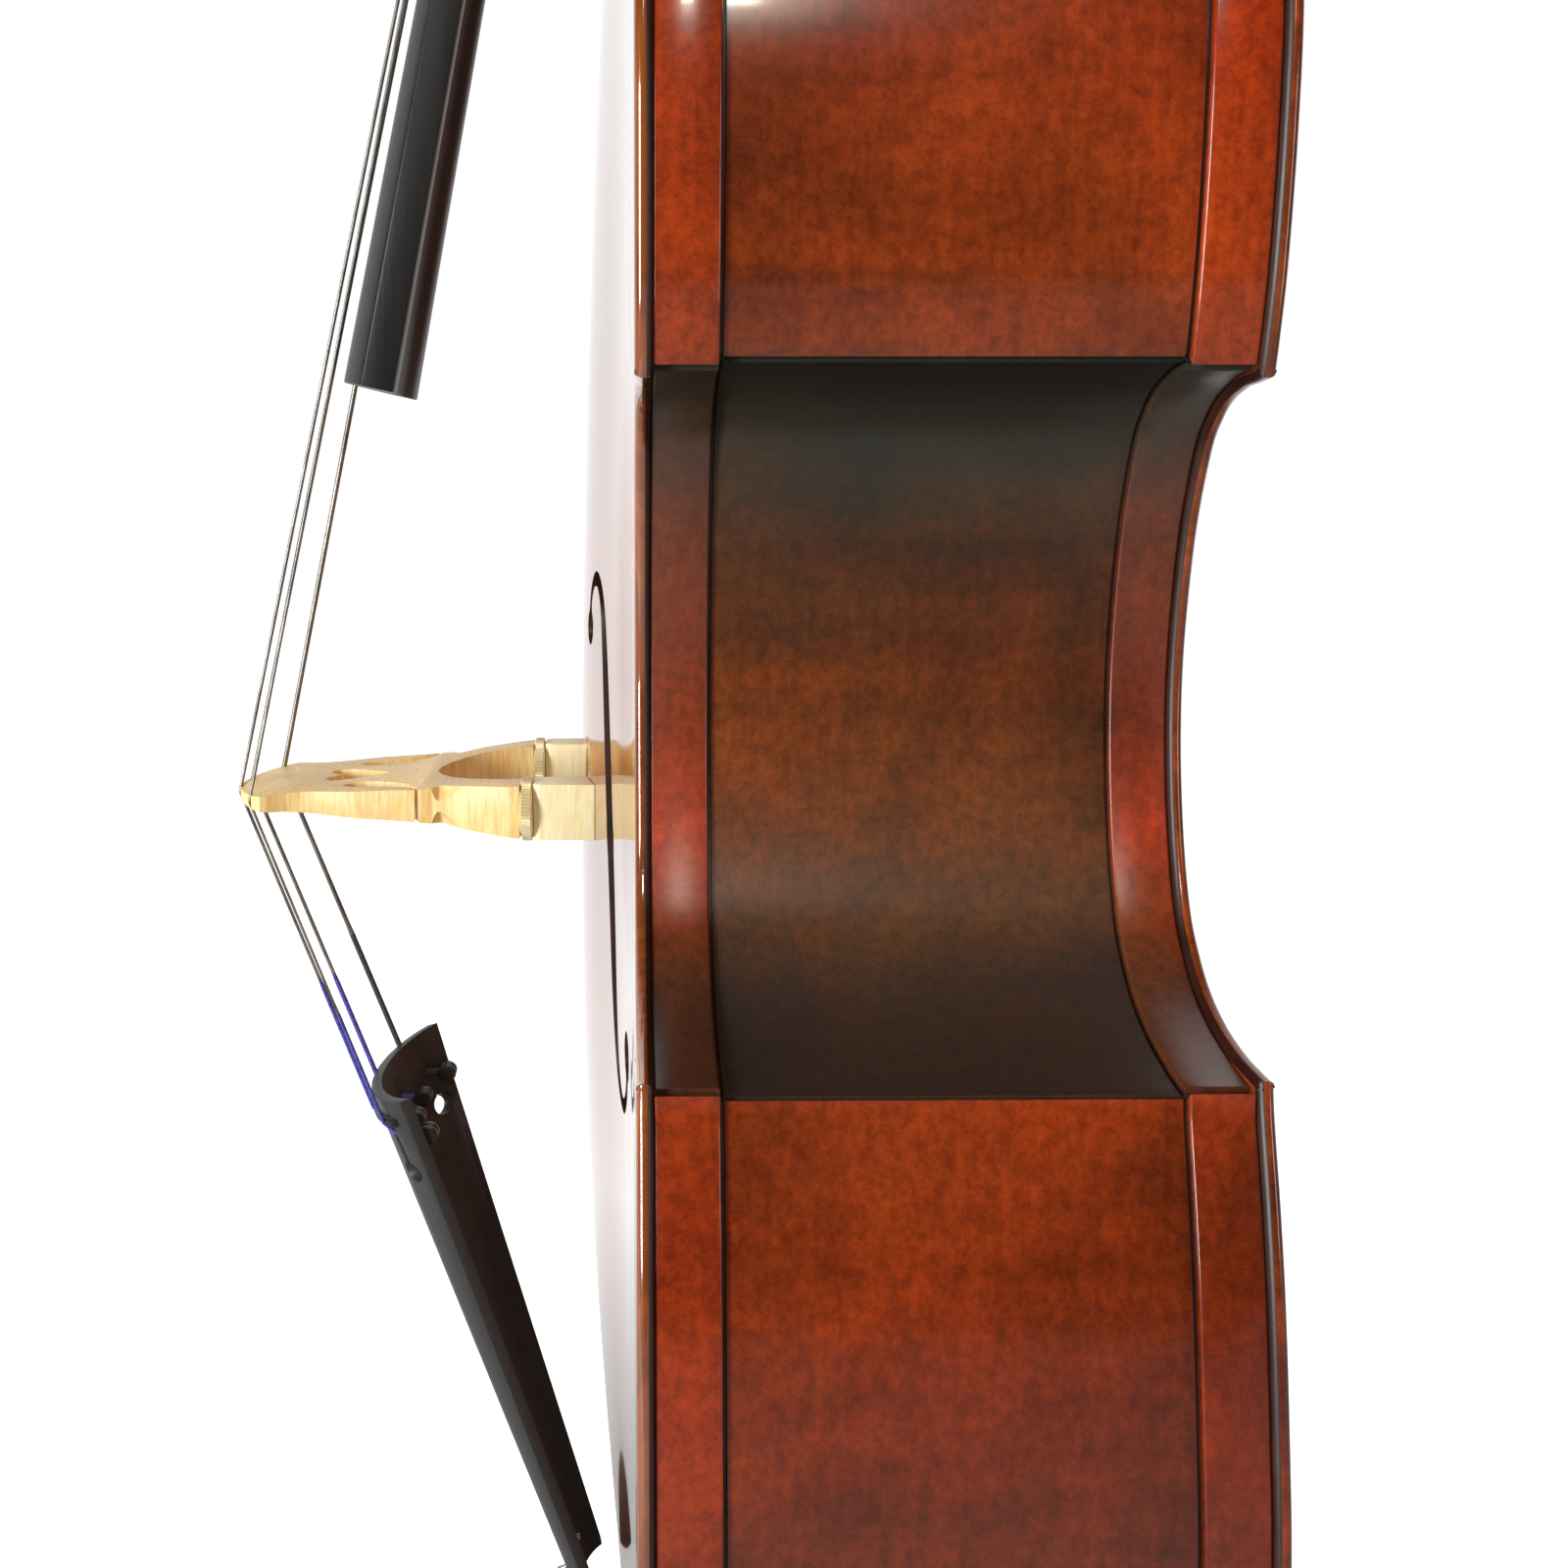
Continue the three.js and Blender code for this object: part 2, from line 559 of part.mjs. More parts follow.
// Room for the nut and the end of the fingerboard on the pegbox's lower end.
function nutSeat() {
  const at = (along, below) => {
    const p = onBoard(along, 0, below);
    return [p.y, p.z];
  };
  const outline = [at(700, -20), at(700, BOARD_HEIGHT[1] + 0.35 + 2.9), at(BOARD_LENGTH + 9.7, 12 + 0.35),
    at(BOARD_LENGTH + 9.7, -20)];
  return slabX(outline.reverse(), -40, 40);
}

function flipX(geometry) {
  const flipped = geometry.clone().scale(-1, 1, 1);
  const index = Array.from(flipped.index.array);
  for (let i = 0; i < index.length; i += 3) {
    [index[i + 1], index[i + 2]] = [index[i + 2], index[i + 1]];
  }
  flipped.setIndex(index);
  return flipped;
}

// ---- tuning machines --------------------------------------------------------
const tunerSide = (name) => (name === 'g' || name === 'd' ? 1 : -1);
const GEAR_X = PEG_HALF_W + GAP + 2.5 + 5.2;
const WORM_A = GEAR_PITCH_R + WORM_PITCH_R;
const LUG_B = [-15, 16];

function tunerPlate(side) {
  const names = STRING_ORDER.filter((name) => tunerSide(name) === side);
  const low = Math.min(...names.map((name) => POST_A[name]));
  const high = Math.max(...names.map((name) => POST_A[name]));
  const sheet = pegSlab([[low - 12, 6], [high + 30, 6], [high + 30, 42], [low - 12, 39]],
    PEG_HALF_W + GAP, PEG_HALF_W + GAP + 2.5);
  const lugs = names.flatMap((name) => LUG_B.map((b) => {
    const a = POST_A[name] + WORM_A;
    return pegSlab([[a - 5, POST_B + b - 2], [a + 5, POST_B + b - 2], [a + 5, POST_B + b + 2],
      [a - 5, POST_B + b + 2]], PEG_HALF_W + GAP + 1, GEAR_X + GEAR_T / 2 + 5.5);
  }));
  const holes = names.flatMap((name) => {
    const a = POST_A[name] + WORM_A;
    const x = GEAR_X + GEAR_T / 2;
    return [
      rod(inPegbox(POST_A[name], POST_B, 0), inPegbox(POST_A[name], POST_B, 60), POST_R + GAP, 18),
      rod(inPegbox(a, POST_B - 30, x), inPegbox(a, POST_B + 30, x), 2.8 + GAP, 14),
    ];
  });
  const piece = cut(join(sheet, ...lugs), ...holes);
  return side > 0 ? piece : flipX(piece);
}

// The teeth of a roller's gear.
function gearTeeth(name) {
  const outline = [];
  const step = (2 * Math.PI) / GEAR_TEETH;
  const [root, tip] = [GEAR_PITCH_R - 1.8, GEAR_PITCH_R + 1.2];
  for (let i = 0; i < GEAR_TEETH; i += 1) {
    const middle = (i + 0.5) * step;
    for (const [share, radius] of [[-0.3, root], [-0.12, tip], [0.12, tip], [0.3, root]]) {
      const angle = middle + share * step;
      outline.push([POST_A[name] + radius * Math.cos(angle), POST_B + radius * Math.sin(angle)]);
    }
  }
  return pegSlab(outline, GEAR_X, GEAR_X + GEAR_T);
}

// A string roller with the gear that is pressed on its outer end.
function tunerRoller(name) {
  const at = (x) => inPegbox(POST_A[name], POST_B, x);
  const inner = -PEG_HALF_W + 5;
  const barrel = rod(at(inner), at(GEAR_X + 1), POST_R, 16);
  const cap = rod(at(GEAR_X + GEAR_T - 1), at(GEAR_X + GEAR_T + 2), 6.5, 12);
  const piece = join(barrel, gearTeeth(name), cap);
  return tunerSide(name) > 0 ? piece : flipX(piece);
}

// The worm's thread: a trapezoid carried round a right-hand helix.
function wormThread(origin, along, towardGear, turns) {
  const third = along.clone().cross(towardGear);
  const steps = Math.round(turns * 8);
  const rings = [];
  for (let i = 0; i <= steps; i += 1) {
    const angle = ((i / 8) - turns / 2) * 2 * Math.PI;
    const out = towardGear.clone().multiplyScalar(Math.cos(angle)).addScaledVector(third, Math.sin(angle));
    const base = origin.clone().addScaledVector(along, (angle / (2 * Math.PI)) * WORM_LEAD);
    const corner = (radius, offset) => base.clone().addScaledVector(out, radius).addScaledVector(along, offset);
    rings.push([corner(3.6, -1.4), corner(WORM_PITCH_R + 1.2, -0.6), corner(WORM_PITCH_R + 1.2, 0.6),
      corner(3.6, 1.4)]);
  }
  return loft(rings);
}

function tunerWorm(name) {
  const x = GEAR_X + GEAR_T / 2;
  const a = POST_A[name] + WORM_A;
  const at = (b) => inPegbox(a, POST_B + b, x);
  const thread = wormThread(at(0), PEG_M, PEG_T.clone().negate(), 3);
  const core = rod(at(-12.7), at(13.7), 4, 8);
  const shaft = rod(at(-19), at(46), 2.8, 8);
  const collar = rod(at(18.5), at(23), 4.6, 12);
  return join(core, thread, shaft, collar, tunerKey(at));
}

// The flat leaf-shaped key at the end of a worm's shaft.
function tunerKey(at) {
  const leaf = [];
  for (let i = 0; i < 16; i += 1) {
    const angle = (i / 16) * 2 * Math.PI;
    const swell = 1 + 0.16 * Math.cos(3 * angle);
    leaf.push([17 * swell * Math.sin(angle), 10.5 - 10.5 * Math.cos(angle) * (1 + 0.1 * Math.sin(angle) ** 2)]);
  }
  const blade = prism(leaf, 3.4).translate(0, 0, -1.7);
  return place(blade, at(41), PEG_T, PEG_M, v3(-1, 0, 0));
}

// ---- bridge -------------------------------------------------------------------
// Everything on the bridge is drawn in (x, height in front of the belly's edge plane).
const bridgeTop = (x) => BRIDGE_TOP - BRIDGE_TOP_R + Math.sqrt(BRIDGE_TOP_R ** 2 - x ** 2);
const BRIDGE_THICKNESS = [
  [LEG_BOTTOM - 10, 13.6], [80, 11], [105, 8.2], [135, 6.8], [165, 5.2], [200, 2.6], [210, 2.3],
];

function bridgeSlab(points, z0 = -16, z1 = 16) {
  const geometry = prism(points, z1 - z0);
  return place(geometry, v3(0, -HALF_DEPTH, BRIDGE_Z + z1), UNIT_X, v3(0, -1, 0), v3(0, 0, -1));
}

function bridgeSide() {
  return [[46.5, 184], [45.5, 180.5], [42, 174], [40.5, 166], [42, 156], [45.5, 146], [47.8, 136],
    [48.4, 124], [50, 112], [51, 106], [51.2, 104], [50.5, 99], [52, 91], [56, 80], [61, 70], [65, 62],
    [66, LEG_BOTTOM]];
}

function bridgeOutline() {
  const crown = [0, 8, 16, 24, 31, 38, 43].map((x) => [x, bridgeTop(x)]);
  const arc = [[46, LEG_BOTTOM], [43, 68], [37, 80], [28, 90], [16, 97.5], [5, 101]];
  const right = [...crown, ...bridgeSide(), ...arc];
  const left = right.slice(1).map(([x, h]) => [-x, h]).reverse();
  return [...right, ...left].reverse();
}

function kidney(side) {
  const outline = [[52.5, 105], [46, 107], [41, 110], [36, 112], [29, 119], [24, 128], [22.5, 137], [25, 144.5],
    [30, 146], [34, 141], [36.5, 132], [39, 122], [42.5, 113.5], [46.5, 109], [52.5, 106.6]];
  return bridgeSlab(mirrored(outline, side));
}

function heart() {
  const half = [[0, 127], [5, 133], [10.5, 141], [14.5, 149], [14.5, 155],
    [11, 158.5], [6, 158], [2, 153], [0, 150.5]];
  const other = half.slice(1, -1).map(([x, h]) => [-x, h]).reverse();
  return bridgeSlab([...half, ...other]);
}

function bridge() {
  const front = BRIDGE_THICKNESS.map(([h, t]) => [-HALF_DEPTH - h, BRIDGE_Z + t]);
  const rear = BRIDGE_THICKNESS.map(([h, t]) => [-HALF_DEPTH - h, BRIDGE_Z - t]).reverse();
  const wedge = slabX([...front, ...rear], -90, 90);
  const stems = [1, -1].map((side) => rod(v3(side * LEG_X, -HALF_DEPTH - LEG_BOTTOM + 4, BRIDGE_Z),
    v3(side * LEG_X, -HALF_DEPTH - LEG_BOTTOM - 14, BRIDGE_Z), STEM_BORE_R, 16));
  const body = common(bridgeSlab(bridgeOutline()), wedge);
  return cut(body, kidney(1), kidney(-1), heart(), ...stems, ...stringChannels());
}

function bridgeFoot(side) {
  const top = LEG_BOTTOM - GAP - WHEEL_T - GAP;
  const outline = [[46, top - 3], [48, top], [64, top], [66, top - 3],
    [66.5, 18.5], [62, 19.6], [54, 21], [46, 22.3]];
  const blank = bridgeSlab(mirrored(outline.reverse(), side), -13.6, 13.6);
  const at = (y) => v3(side * LEG_X, -HALF_DEPTH - top + y, BRIDGE_Z);
  const bore = rod(at(-2), at(16), STEM_BORE_R, 16);
  return cut(blank, bore, bellyAround());
}

// The belly's top surface under the bridge, thickened upward by a hair of clearance.
function bellyAround() {
  const xs = Array.from({ length: 15 }, (_, i) => -84 + i * 12);
  const rings = [-24, -8, 8, 24].map((dz) => {
    const z = BRIDGE_Z + dz;
    const skin = xs.map((x) => v3(x, -HALF_DEPTH - arch(x, z, 183, BELLY_ARCH, 112) - 0.5, z));
    return [v3(84, -HALF_DEPTH + 40, z), ...skin.reverse(), v3(-84, -HALF_DEPTH + 40, z)];
  });
  return loft(rings);
}

function adjusterWheel(side) {
  const middle = HALF_DEPTH + LEG_BOTTOM - GAP - WHEEL_T / 2;
  const at = (h) => v3(side * LEG_X, -middle - h, BRIDGE_Z);
  const disc = rod(at(-WHEEL_T / 2), at(WHEEL_T / 2), WHEEL_R, 32);
  const stem = rod(at(-WHEEL_T / 2 - 13), at(WHEEL_T / 2 + 11), STEM_R, 14);
  return join(disc, stem);
}

// ---- tailpiece, strings and tail wire --------------------------------------
const TAIL_TILT = Math.atan(0.35);
const TAIL_A = v3(0, Math.sin(TAIL_TILT), -Math.cos(TAIL_TILT));
const TAIL_N = v3(0, -Math.cos(TAIL_TILT), -Math.sin(TAIL_TILT));
const TAIL_ORIGIN = v3(0, -HALF_DEPTH - 139.8, TAIL_TOP_Z);

function onTail(along, across, below) {
  return TAIL_ORIGIN.clone().addScaledVector(TAIL_A, along).addScaledVector(TAIL_N, -below)
    .add(v3(across, 0, 0));
}

const TAIL_COLUMNS = [-1, -0.82, -0.56, -0.28, 0, 0.28, 0.56, 0.82, 1];
const tailWidth = (along) => lerp(...TAIL_HALF_W, (along / TAIL_LENGTH) ** 0.9);
const tailSag = (along, u) => (
  lerp(...TAIL_HEIGHT, along / TAIL_LENGTH) * (1 - Math.sqrt(1 - 0.84 * u * u)) / 0.6);

function tailpiece() {
  const ring = (along) => {
    const w = tailWidth(along) * (along > TAIL_LENGTH - 2 ? 0.9 : 1);
    const outer = TAIL_COLUMNS.map((u) => onTail(along, u * w, tailSag(along, u)));
    const inner = TAIL_COLUMNS.map((u) => onTail(along, u * (w - 1.5), tailSag(along, u) + TAIL_T));
    return [...outer, ...inner.reverse()];
  };
  const shell = loft([0, 80, 200, TAIL_LENGTH - 8, TAIL_LENGTH].map(ring));
  const keyholes = STRING_ORDER.flatMap((name) => keyhole(name));
  const foot = TAIL_LENGTH - 16;
  const wireHoles = [-11, 11].map((x) => rod(onTail(foot, x, -20), onTail(foot, x, 30), 2.8, 12));
  return cut(shell, ...keyholes, ...wireHoles);
}

const TAIL_X = { g: 42, d: 14, a: -14, e: -42 };
const SLOT_START = 20;
const SLOT_LENGTH = 22;
const FRET_ALONG = 12;

function keyhole(name) {
  const x = TAIL_X[name];
  const middle = onTail(SLOT_START + SLOT_LENGTH / 2 - 2, x, 10);
  const slot = place(new THREE.BoxGeometry(3.6, SLOT_LENGTH + 4, 60), middle,
    UNIT_X, TAIL_A, TAIL_N.clone().negate());
  const hole = rod(onTail(SLOT_START + SLOT_LENGTH, x, -20), onTail(SLOT_START + SLOT_LENGTH, x, 45), 6, 12);
  return [slot, hole];
}

// The raised rail across the tailpiece that lifts the strings.
function tailFret() {
  const along = FRET_ALONG;
  const rings = [-0.9, ...TAIL_COLUMNS.slice(1, -1), 0.9].map((u) => {
    const x = u * tailWidth(along);
    const lift = tailSag(along, u) - 0.6;
    return [onTail(along - 2.4, x, lift), onTail(along - 1.4, x, lift - 2.6),
      onTail(along + 1.4, x, lift - 2.6),
      onTail(along + 2.4, x, lift)];
  });
  return cut(loft(rings), ...stringChannels());
}

function tailpieceBall(name) {
  const x = TAIL_X[name];
  const along = SLOT_START + 5;
  return onTail(along, x, tailSag(along, x / tailWidth(along)) + TAIL_T + 10.5);
}

function stringPath(name) {
  const r = STRING_R[name];
  const x = STRING_X_BRIDGE[name];
  const post = inPegbox(POST_A[name], POST_B - POST_R - r - 0.9, STRING_X_NUT[name] * 0.55);
  const nutPoint = onBoard(BOARD_LENGTH + 4, STRING_X_NUT[name], -0.9 - 0.4 * r);
  const crest = v3(x, -HALF_DEPTH - bridgeTop(x) - 0.4 * r, BRIDGE_Z);
  const tx = TAIL_X[name];
  const fret = onTail(FRET_ALONG, tx, tailSag(FRET_ALONG, tx / tailWidth(FRET_ALONG)) - 3 - 0.4 * r);
  const mouth = onTail(SLOT_START - 0.6, tx, tailSag(SLOT_START, tx / tailWidth(SLOT_START)) + 0.5);
  return { post, nutPoint, crest, fret, mouth, ball: tailpieceBall(name) };
}

// The room a string needs where it crosses the nut, bridge, fret and tailpiece.
function stringChannels() {
  return STRING_ORDER.map((name) => {
    const p = stringPath(name);
    return sweep([p.post, p.nutPoint, p.crest, p.fret, p.mouth, p.ball], STRING_R[name] + 0.25, 6);
  });
}

function string(name) {
  const p = stringPath(name);
  const path = [p.post, p.nutPoint, p.crest, p.fret, p.mouth, p.ball];
  const cord = sweep(path, STRING_R[name], 6);
  const across = v3(4, 0, 0);
  const ball = rod(p.ball.clone().sub(across), p.ball.clone().add(across), 5, 12);
  return join(cord, ball);
}

// The wire that ties the tailpiece to the endpin collar, over the saddle.
function tailWire() {
  return sweep(tailWirePath(), 1.9, 8);
}

function tailWirePath() {
  const y = -HALF_DEPTH;
  const half = [
    onTail(TAIL_LENGTH - 16, 11, 9), onTail(TAIL_LENGTH - 16, 11, -2), onTail(TAIL_LENGTH - 3, 12, -3.4),
    v3(13, y - SADDLE.height - 1, BODY_BOTTOM + 2), v3(14, y - 4, BODY_BOTTOM - 5.9),
    v3(16, y + 12, BODY_BOTTOM - 5.6), v3(18.6, -14, BODY_BOTTOM - 5.6), v3(18.8, 2, BODY_BOTTOM - 5.6),
    v3(13, 14, BODY_BOTTOM - 5.6),
  ];
  return [...half, v3(0, 19, BODY_BOTTOM - 5.6), ...half.map((p) => v3(-p.x, p.y, p.z)).reverse()];
}

// ---- endpin -----------------------------------------------------------------
function endpinCollar() {
  const z = BODY_BOTTOM;
  const bore = ENDPIN_R + 0.25;
  const profile = [[bore, z - 38], [17, z - 38], [20, z - 34], [21, z - 12], [18, z - 9], [15.6, z - 8.4],
    [15.6, z - 2.8], [23, z - 2.2], [24, z + 1], [22, z + 4.6], [13, z + 4.9], [12, z + 52], [bore, z + 52],
    [bore, z - 38]];
  const points = profile.map(([r, h]) => new THREE.Vector2(r, h));
  const turned = new THREE.LatheGeometry(points, 20).rotateX(Math.PI / 2);
  const hole = rod(v3(4, 0, z - 24), v3(40, 0, z - 24), 3.3, 14);
  return cut(turned, hole);
}

function endpinScrew() {
  const z = BODY_BOTTOM - 24;
  const shank = rod(v3(ENDPIN_R + 1.2, 0, z), v3(30, 0, z), 3, 14);
  const hub = rod(v3(24, 0, z), v3(31, 0, z), 6, 16);
  const wing = prism([[0, -5], [12, -15], [18, -14], [18, -6], [12, 0], [18, 6], [18, 14],
    [12, 15], [0, 5]], 3.6);
  return join(shank, hub, place(wing, v3(27, 1.8, z), UNIT_X, UNIT_Z, v3(0, -1, 0)));
}

function endpinRod() {
  return rod(v3(0, 0, 12.3), v3(0, 0, ENDPIN_TOP), ENDPIN_R, 24);
}

function endpinTip() {
  const bore = ENDPIN_R + 0.15;
  const profile = [[0, 0], [9, 0], [13, 4], [14, 12], [12, 22], [9.5, 36], [bore, 36], [bore, 12], [0, 12]];
  const points = profile.map(([r, h]) => new THREE.Vector2(r, h));
  return new THREE.LatheGeometry(points, 20).rotateX(Math.PI / 2);
}

// ---- assembly ------------------------------------------------------------------
const group = new THREE.Group();
group.name = 'double_bass';

function addPart(name, geometry, colour) {
  const material = new THREE.MeshStandardMaterial({ color: COLOURS[colour], name: colour });
  const mesh = new THREE.Mesh(geometry, material);
  mesh.name = name;
  group.add(mesh);
}

const SIDES = [['treble', 1], ['bass', -1]];

addPart('belly', belly(), 'belly');
addPart('back', back(), 'back');
for (const [label, side] of SIDES) {
  for (const part of ['upper', 'middle', 'lower']) {
    addPart(`rib_${part}_${label}`, rib(part, side), 'rib');
    addPart(`lining_front_${part}_${label}`, lining(part, side, -1), 'edge');
    addPart(`lining_back_${part}_${label}`, lining(part, side, 1), 'edge');
  }
  addPart(`corner_block_upper_${label}`, cornerBlock('upper', side), 'block');
  addPart(`corner_block_lower_${label}`, cornerBlock('lower', side), 'block');
  addPart(`tuner_plate_${label}`, tunerPlate(side), 'brass');
  addPart(`bridge_foot_${label}`, bridgeFoot(side), 'bridge');
  addPart(`adjuster_wheel_${label}`, adjusterWheel(side), 'wheel');
}
addPart('neck_block', neckBlock(), 'block');
addPart('end_block', endBlock(), 'block');
addPart('bass_bar', bassBar(), 'block');
addPart('sound_post', soundPost(), 'block');
addPart('saddle', saddle(), 'ebony');
addPart('neck', neck(), 'neck');
addPart('fingerboard', fingerboard(), 'ebony');
addPart('nut', nut(), 'ebony');
addPart('bridge', bridge(), 'bridge');
addPart('tailpiece', tailpiece(), 'ebony');
addPart('tailpiece_fret', tailFret(), 'ebony');
addPart('tail_wire', tailWire(), 'steel');
for (const name of STRING_ORDER) {
  addPart(`string_${name}`, string(name), 'string');
  addPart(`tuner_roller_${name}`, tunerRoller(name), 'brass');
  const worm = tunerWorm(name);
  addPart(`tuner_worm_${name}`, tunerSide(name) > 0 ? worm : flipX(worm), 'brass');
}
addPart('endpin_collar', endpinCollar(), 'ebony');
addPart('endpin_screw', endpinScrew(), 'steel');
addPart('endpin_rod', endpinRod(), 'steel');
addPart('endpin_tip', endpinTip(), 'rubber');

export default group;
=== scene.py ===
# Studio model of the double bass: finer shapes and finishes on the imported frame.
import json
import math

import bmesh
import bpy
import numpy as np
from mathutils import Matrix, Vector, geometry


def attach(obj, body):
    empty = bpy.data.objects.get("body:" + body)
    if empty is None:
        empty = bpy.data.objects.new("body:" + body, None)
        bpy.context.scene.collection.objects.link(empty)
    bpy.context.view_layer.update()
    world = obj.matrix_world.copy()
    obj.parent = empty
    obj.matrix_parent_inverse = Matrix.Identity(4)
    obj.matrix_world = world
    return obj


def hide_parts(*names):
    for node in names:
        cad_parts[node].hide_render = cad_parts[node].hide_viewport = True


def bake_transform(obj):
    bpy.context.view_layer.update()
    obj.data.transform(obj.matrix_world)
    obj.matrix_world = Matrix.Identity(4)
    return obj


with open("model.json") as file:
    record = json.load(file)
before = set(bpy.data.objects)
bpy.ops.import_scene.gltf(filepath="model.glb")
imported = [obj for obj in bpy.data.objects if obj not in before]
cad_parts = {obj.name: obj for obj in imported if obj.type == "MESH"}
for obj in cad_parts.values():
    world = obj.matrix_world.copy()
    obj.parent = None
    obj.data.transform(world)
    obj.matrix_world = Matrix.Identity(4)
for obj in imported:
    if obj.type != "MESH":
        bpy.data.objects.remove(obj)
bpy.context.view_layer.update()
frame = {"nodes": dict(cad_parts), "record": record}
ROOT = "instrument"
MM = 0.001

# ---- dimensions in millimetres, as in the solid model ----
BRIDGE_Z = 685
HALF_DEPTH = 111.25
PLATE_T = 6.3
RIB_Y = HALF_DEPTH - PLATE_T - 0.3
RIB_INSET = 5.5
RIB_T = 2.5
LINING_T = 3.0
LINING_W = 23.0
CORNER_OVERHANG = 2.2
BODY_TOP = BRIDGE_Z + 605
BODY_BOTTOM = BRIDGE_Z - 505

UPPER_EDGE = [
    (0, 605), (34, 604.5), (58, 590), (96, 560), (142, 522), (190, 474), (226, 424),
    (249, 370), (258, 318), (260, 275), (258.5, 232), (254.9, 205), (252.6, 193.8),
]
MIDDLE_EDGE = [
    (252.6, 193.8), (243, 192.6), (232, 191.4), (217, 187.2), (206, 180), (196, 168),
    (184, 136), (178, 92), (180, 55), (188, 20), (200, -9), (213, -24.6), (228, -35.6),
    (246, -42.6), (264, -45.9), (277, -46.6), (288.8, -46.8),
]
LOWER_EDGE = [
    (288.8, -46.8), (292, -60), (302, -90), (311, -121), (321, -165), (328.5, -205),
    (334, -262), (331, -322), (314, -384), (280, -436), (226, -473), (155, -495),
    (80, -503.5), (0, -505),
]


# ---- small tools ----
def spline(points, steps):
    """Points along a Catmull-Rom curve, with so many steps between control points."""
    points = [np.array(p, float) for p in points]
    last = len(points) - 1
    out = []
    for i in range(last):
        p0, p1 = points[max(i - 1, 0)], points[i]
        p2, p3 = points[i + 1], points[min(i + 2, last)]
        v0, v1 = (p2 - p0) / 2, (p3 - p1) / 2
        for k in range(steps):
            t = k / steps
            out.append((2 * p1 - 2 * p2 + v0 + v1) * t**3
                       + (3 * p2 - 3 * p1 - 2 * v0 - v1) * t**2 + v0 * t + p1)
    out.append(points[-1])
    return np.array(out)


def lerp(a, b, t):
    return a + (b - a) * t


def add_object(name, data):
    """A new object in the scene."""
    made = bpy.data.objects.new(name, data)
    bpy.context.collection.objects.link(made)
    return made


def face_outwards(mesh):
    """Turns every face to the outside."""
    bm = bmesh.new()
    bm.from_mesh(mesh)
    bmesh.ops.recalc_face_normals(bm, faces=bm.faces)
    bm.to_mesh(mesh)
    bm.free()


def soften(mesh, angle):
    """Shades a mesh smooth, apart from edges sharper than an angle."""
    mesh.polygons.foreach_set("use_smooth", [True] * len(mesh.polygons))
    mesh.set_sharp_from_angle(angle=math.radians(angle))


def make(name, verts, faces, body=ROOT, node=None, material=None, smooth=40, slot=None):
    """A mesh piece from millimetre points, riding on a body and standing for its CAD nodes."""
    mesh = bpy.data.meshes.new(name)
    points = [tuple(c * MM for c in v) for v in verts]
    mesh.from_pydata(points, [], [tuple(int(i) for i in f) for f in faces])
    return finish_piece(name, mesh, body, node, material, smooth, slot)


def finish_piece(name, mesh, body, node, material, smooth, slot=None):
    """A piece made of a mesh, with its finish, its body and the nodes it stands for."""
    mesh.validate()
    face_outwards(mesh)
    soften(mesh, smooth)
    piece = add_object(name, mesh)
    if material:
        mesh.materials.append(material)
    nodes = [node] if isinstance(node, str) else list(node or [])
    if nodes:
        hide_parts(*nodes)
        slot = slot or NODE_SLOT[nodes[0]]
    if body:
        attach(piece, body)
    return piece


NODE_SLOT = {s["node"]: s["material_slot"] for s in frame["record"]["subparts"]}
NODE_BODY = {n: b for b, names in frame["record"]["behaviour"]["bodies"].items() for n in names}
WELD = 1e-6  # metres between points that are one
FACET_ANGLE = 1.5  # degrees between facets of one flat face


def ease(bm, flat, width, segments, angle):
    """Joins faces that are flat to each other, then rounds the edges sharper than an angle."""
    limit = math.radians(flat)
    bmesh.ops.dissolve_limit(bm, angle_limit=limit, verts=bm.verts, edges=bm.edges)
    if width:
        sharp = [e for e in bm.edges
                 if e.is_manifold and e.calc_face_angle(0) > math.radians(angle)]
        bmesh.ops.bevel(bm, geom=sharp, offset=width * MM, segments=segments, profile=0.5,
                        affect="EDGES", clamp_overlap=True)
    bmesh.ops.triangulate(bm, faces=[f for f in bm.faces if len(f.verts) > 4])


def refined(node, material, bevel=0.5, segments=2, angle=30, smooth=35):
    """A CAD node's own shape with its flat faces whole again and its sharp edges eased."""
    mesh = frame["nodes"][node].data.copy()
    mesh.materials.clear()
    bm = bmesh.new()
    bm.from_mesh(mesh)
    bmesh.ops.remove_doubles(bm, verts=bm.verts, dist=WELD)
    ease(bm, FACET_ANGLE, bevel, segments, angle)
    bm.to_mesh(mesh)
    bm.free()
    return finish_piece(node + "_fine", mesh, NODE_BODY[node], node, material, smooth)


def loft(rings):
    """Points and faces of a closed skin over rings with the same number of points."""
    count = len(rings[0])
    verts = [p for ring in rings for p in ring]
    faces = []
    for i in range(len(rings) - 1):
        for j in range(count):
            a, b = i * count + j, i * count + (j + 1) % count
            faces.append((a, b, b + count, a + count))
    faces.append(tuple(range(count))[::-1])
    faces.append(tuple(range((len(rings) - 1) * count, len(rings) * count)))
    return verts, faces


# ---- camera, light and floor ----
CAMERA_TURN = (0.56, 9.04, -0.03)  # yaw, pitch and roll in degrees
CAMERA_PLACE = (0.8045, -0.1121, 0.8477)  # metres
CAMERA_LENS, CAMERA_SENSOR = 36.06, 36
CAMERA_SHIFT = (0.0873, -0.0411)
WHITE = (1, 1, 1)

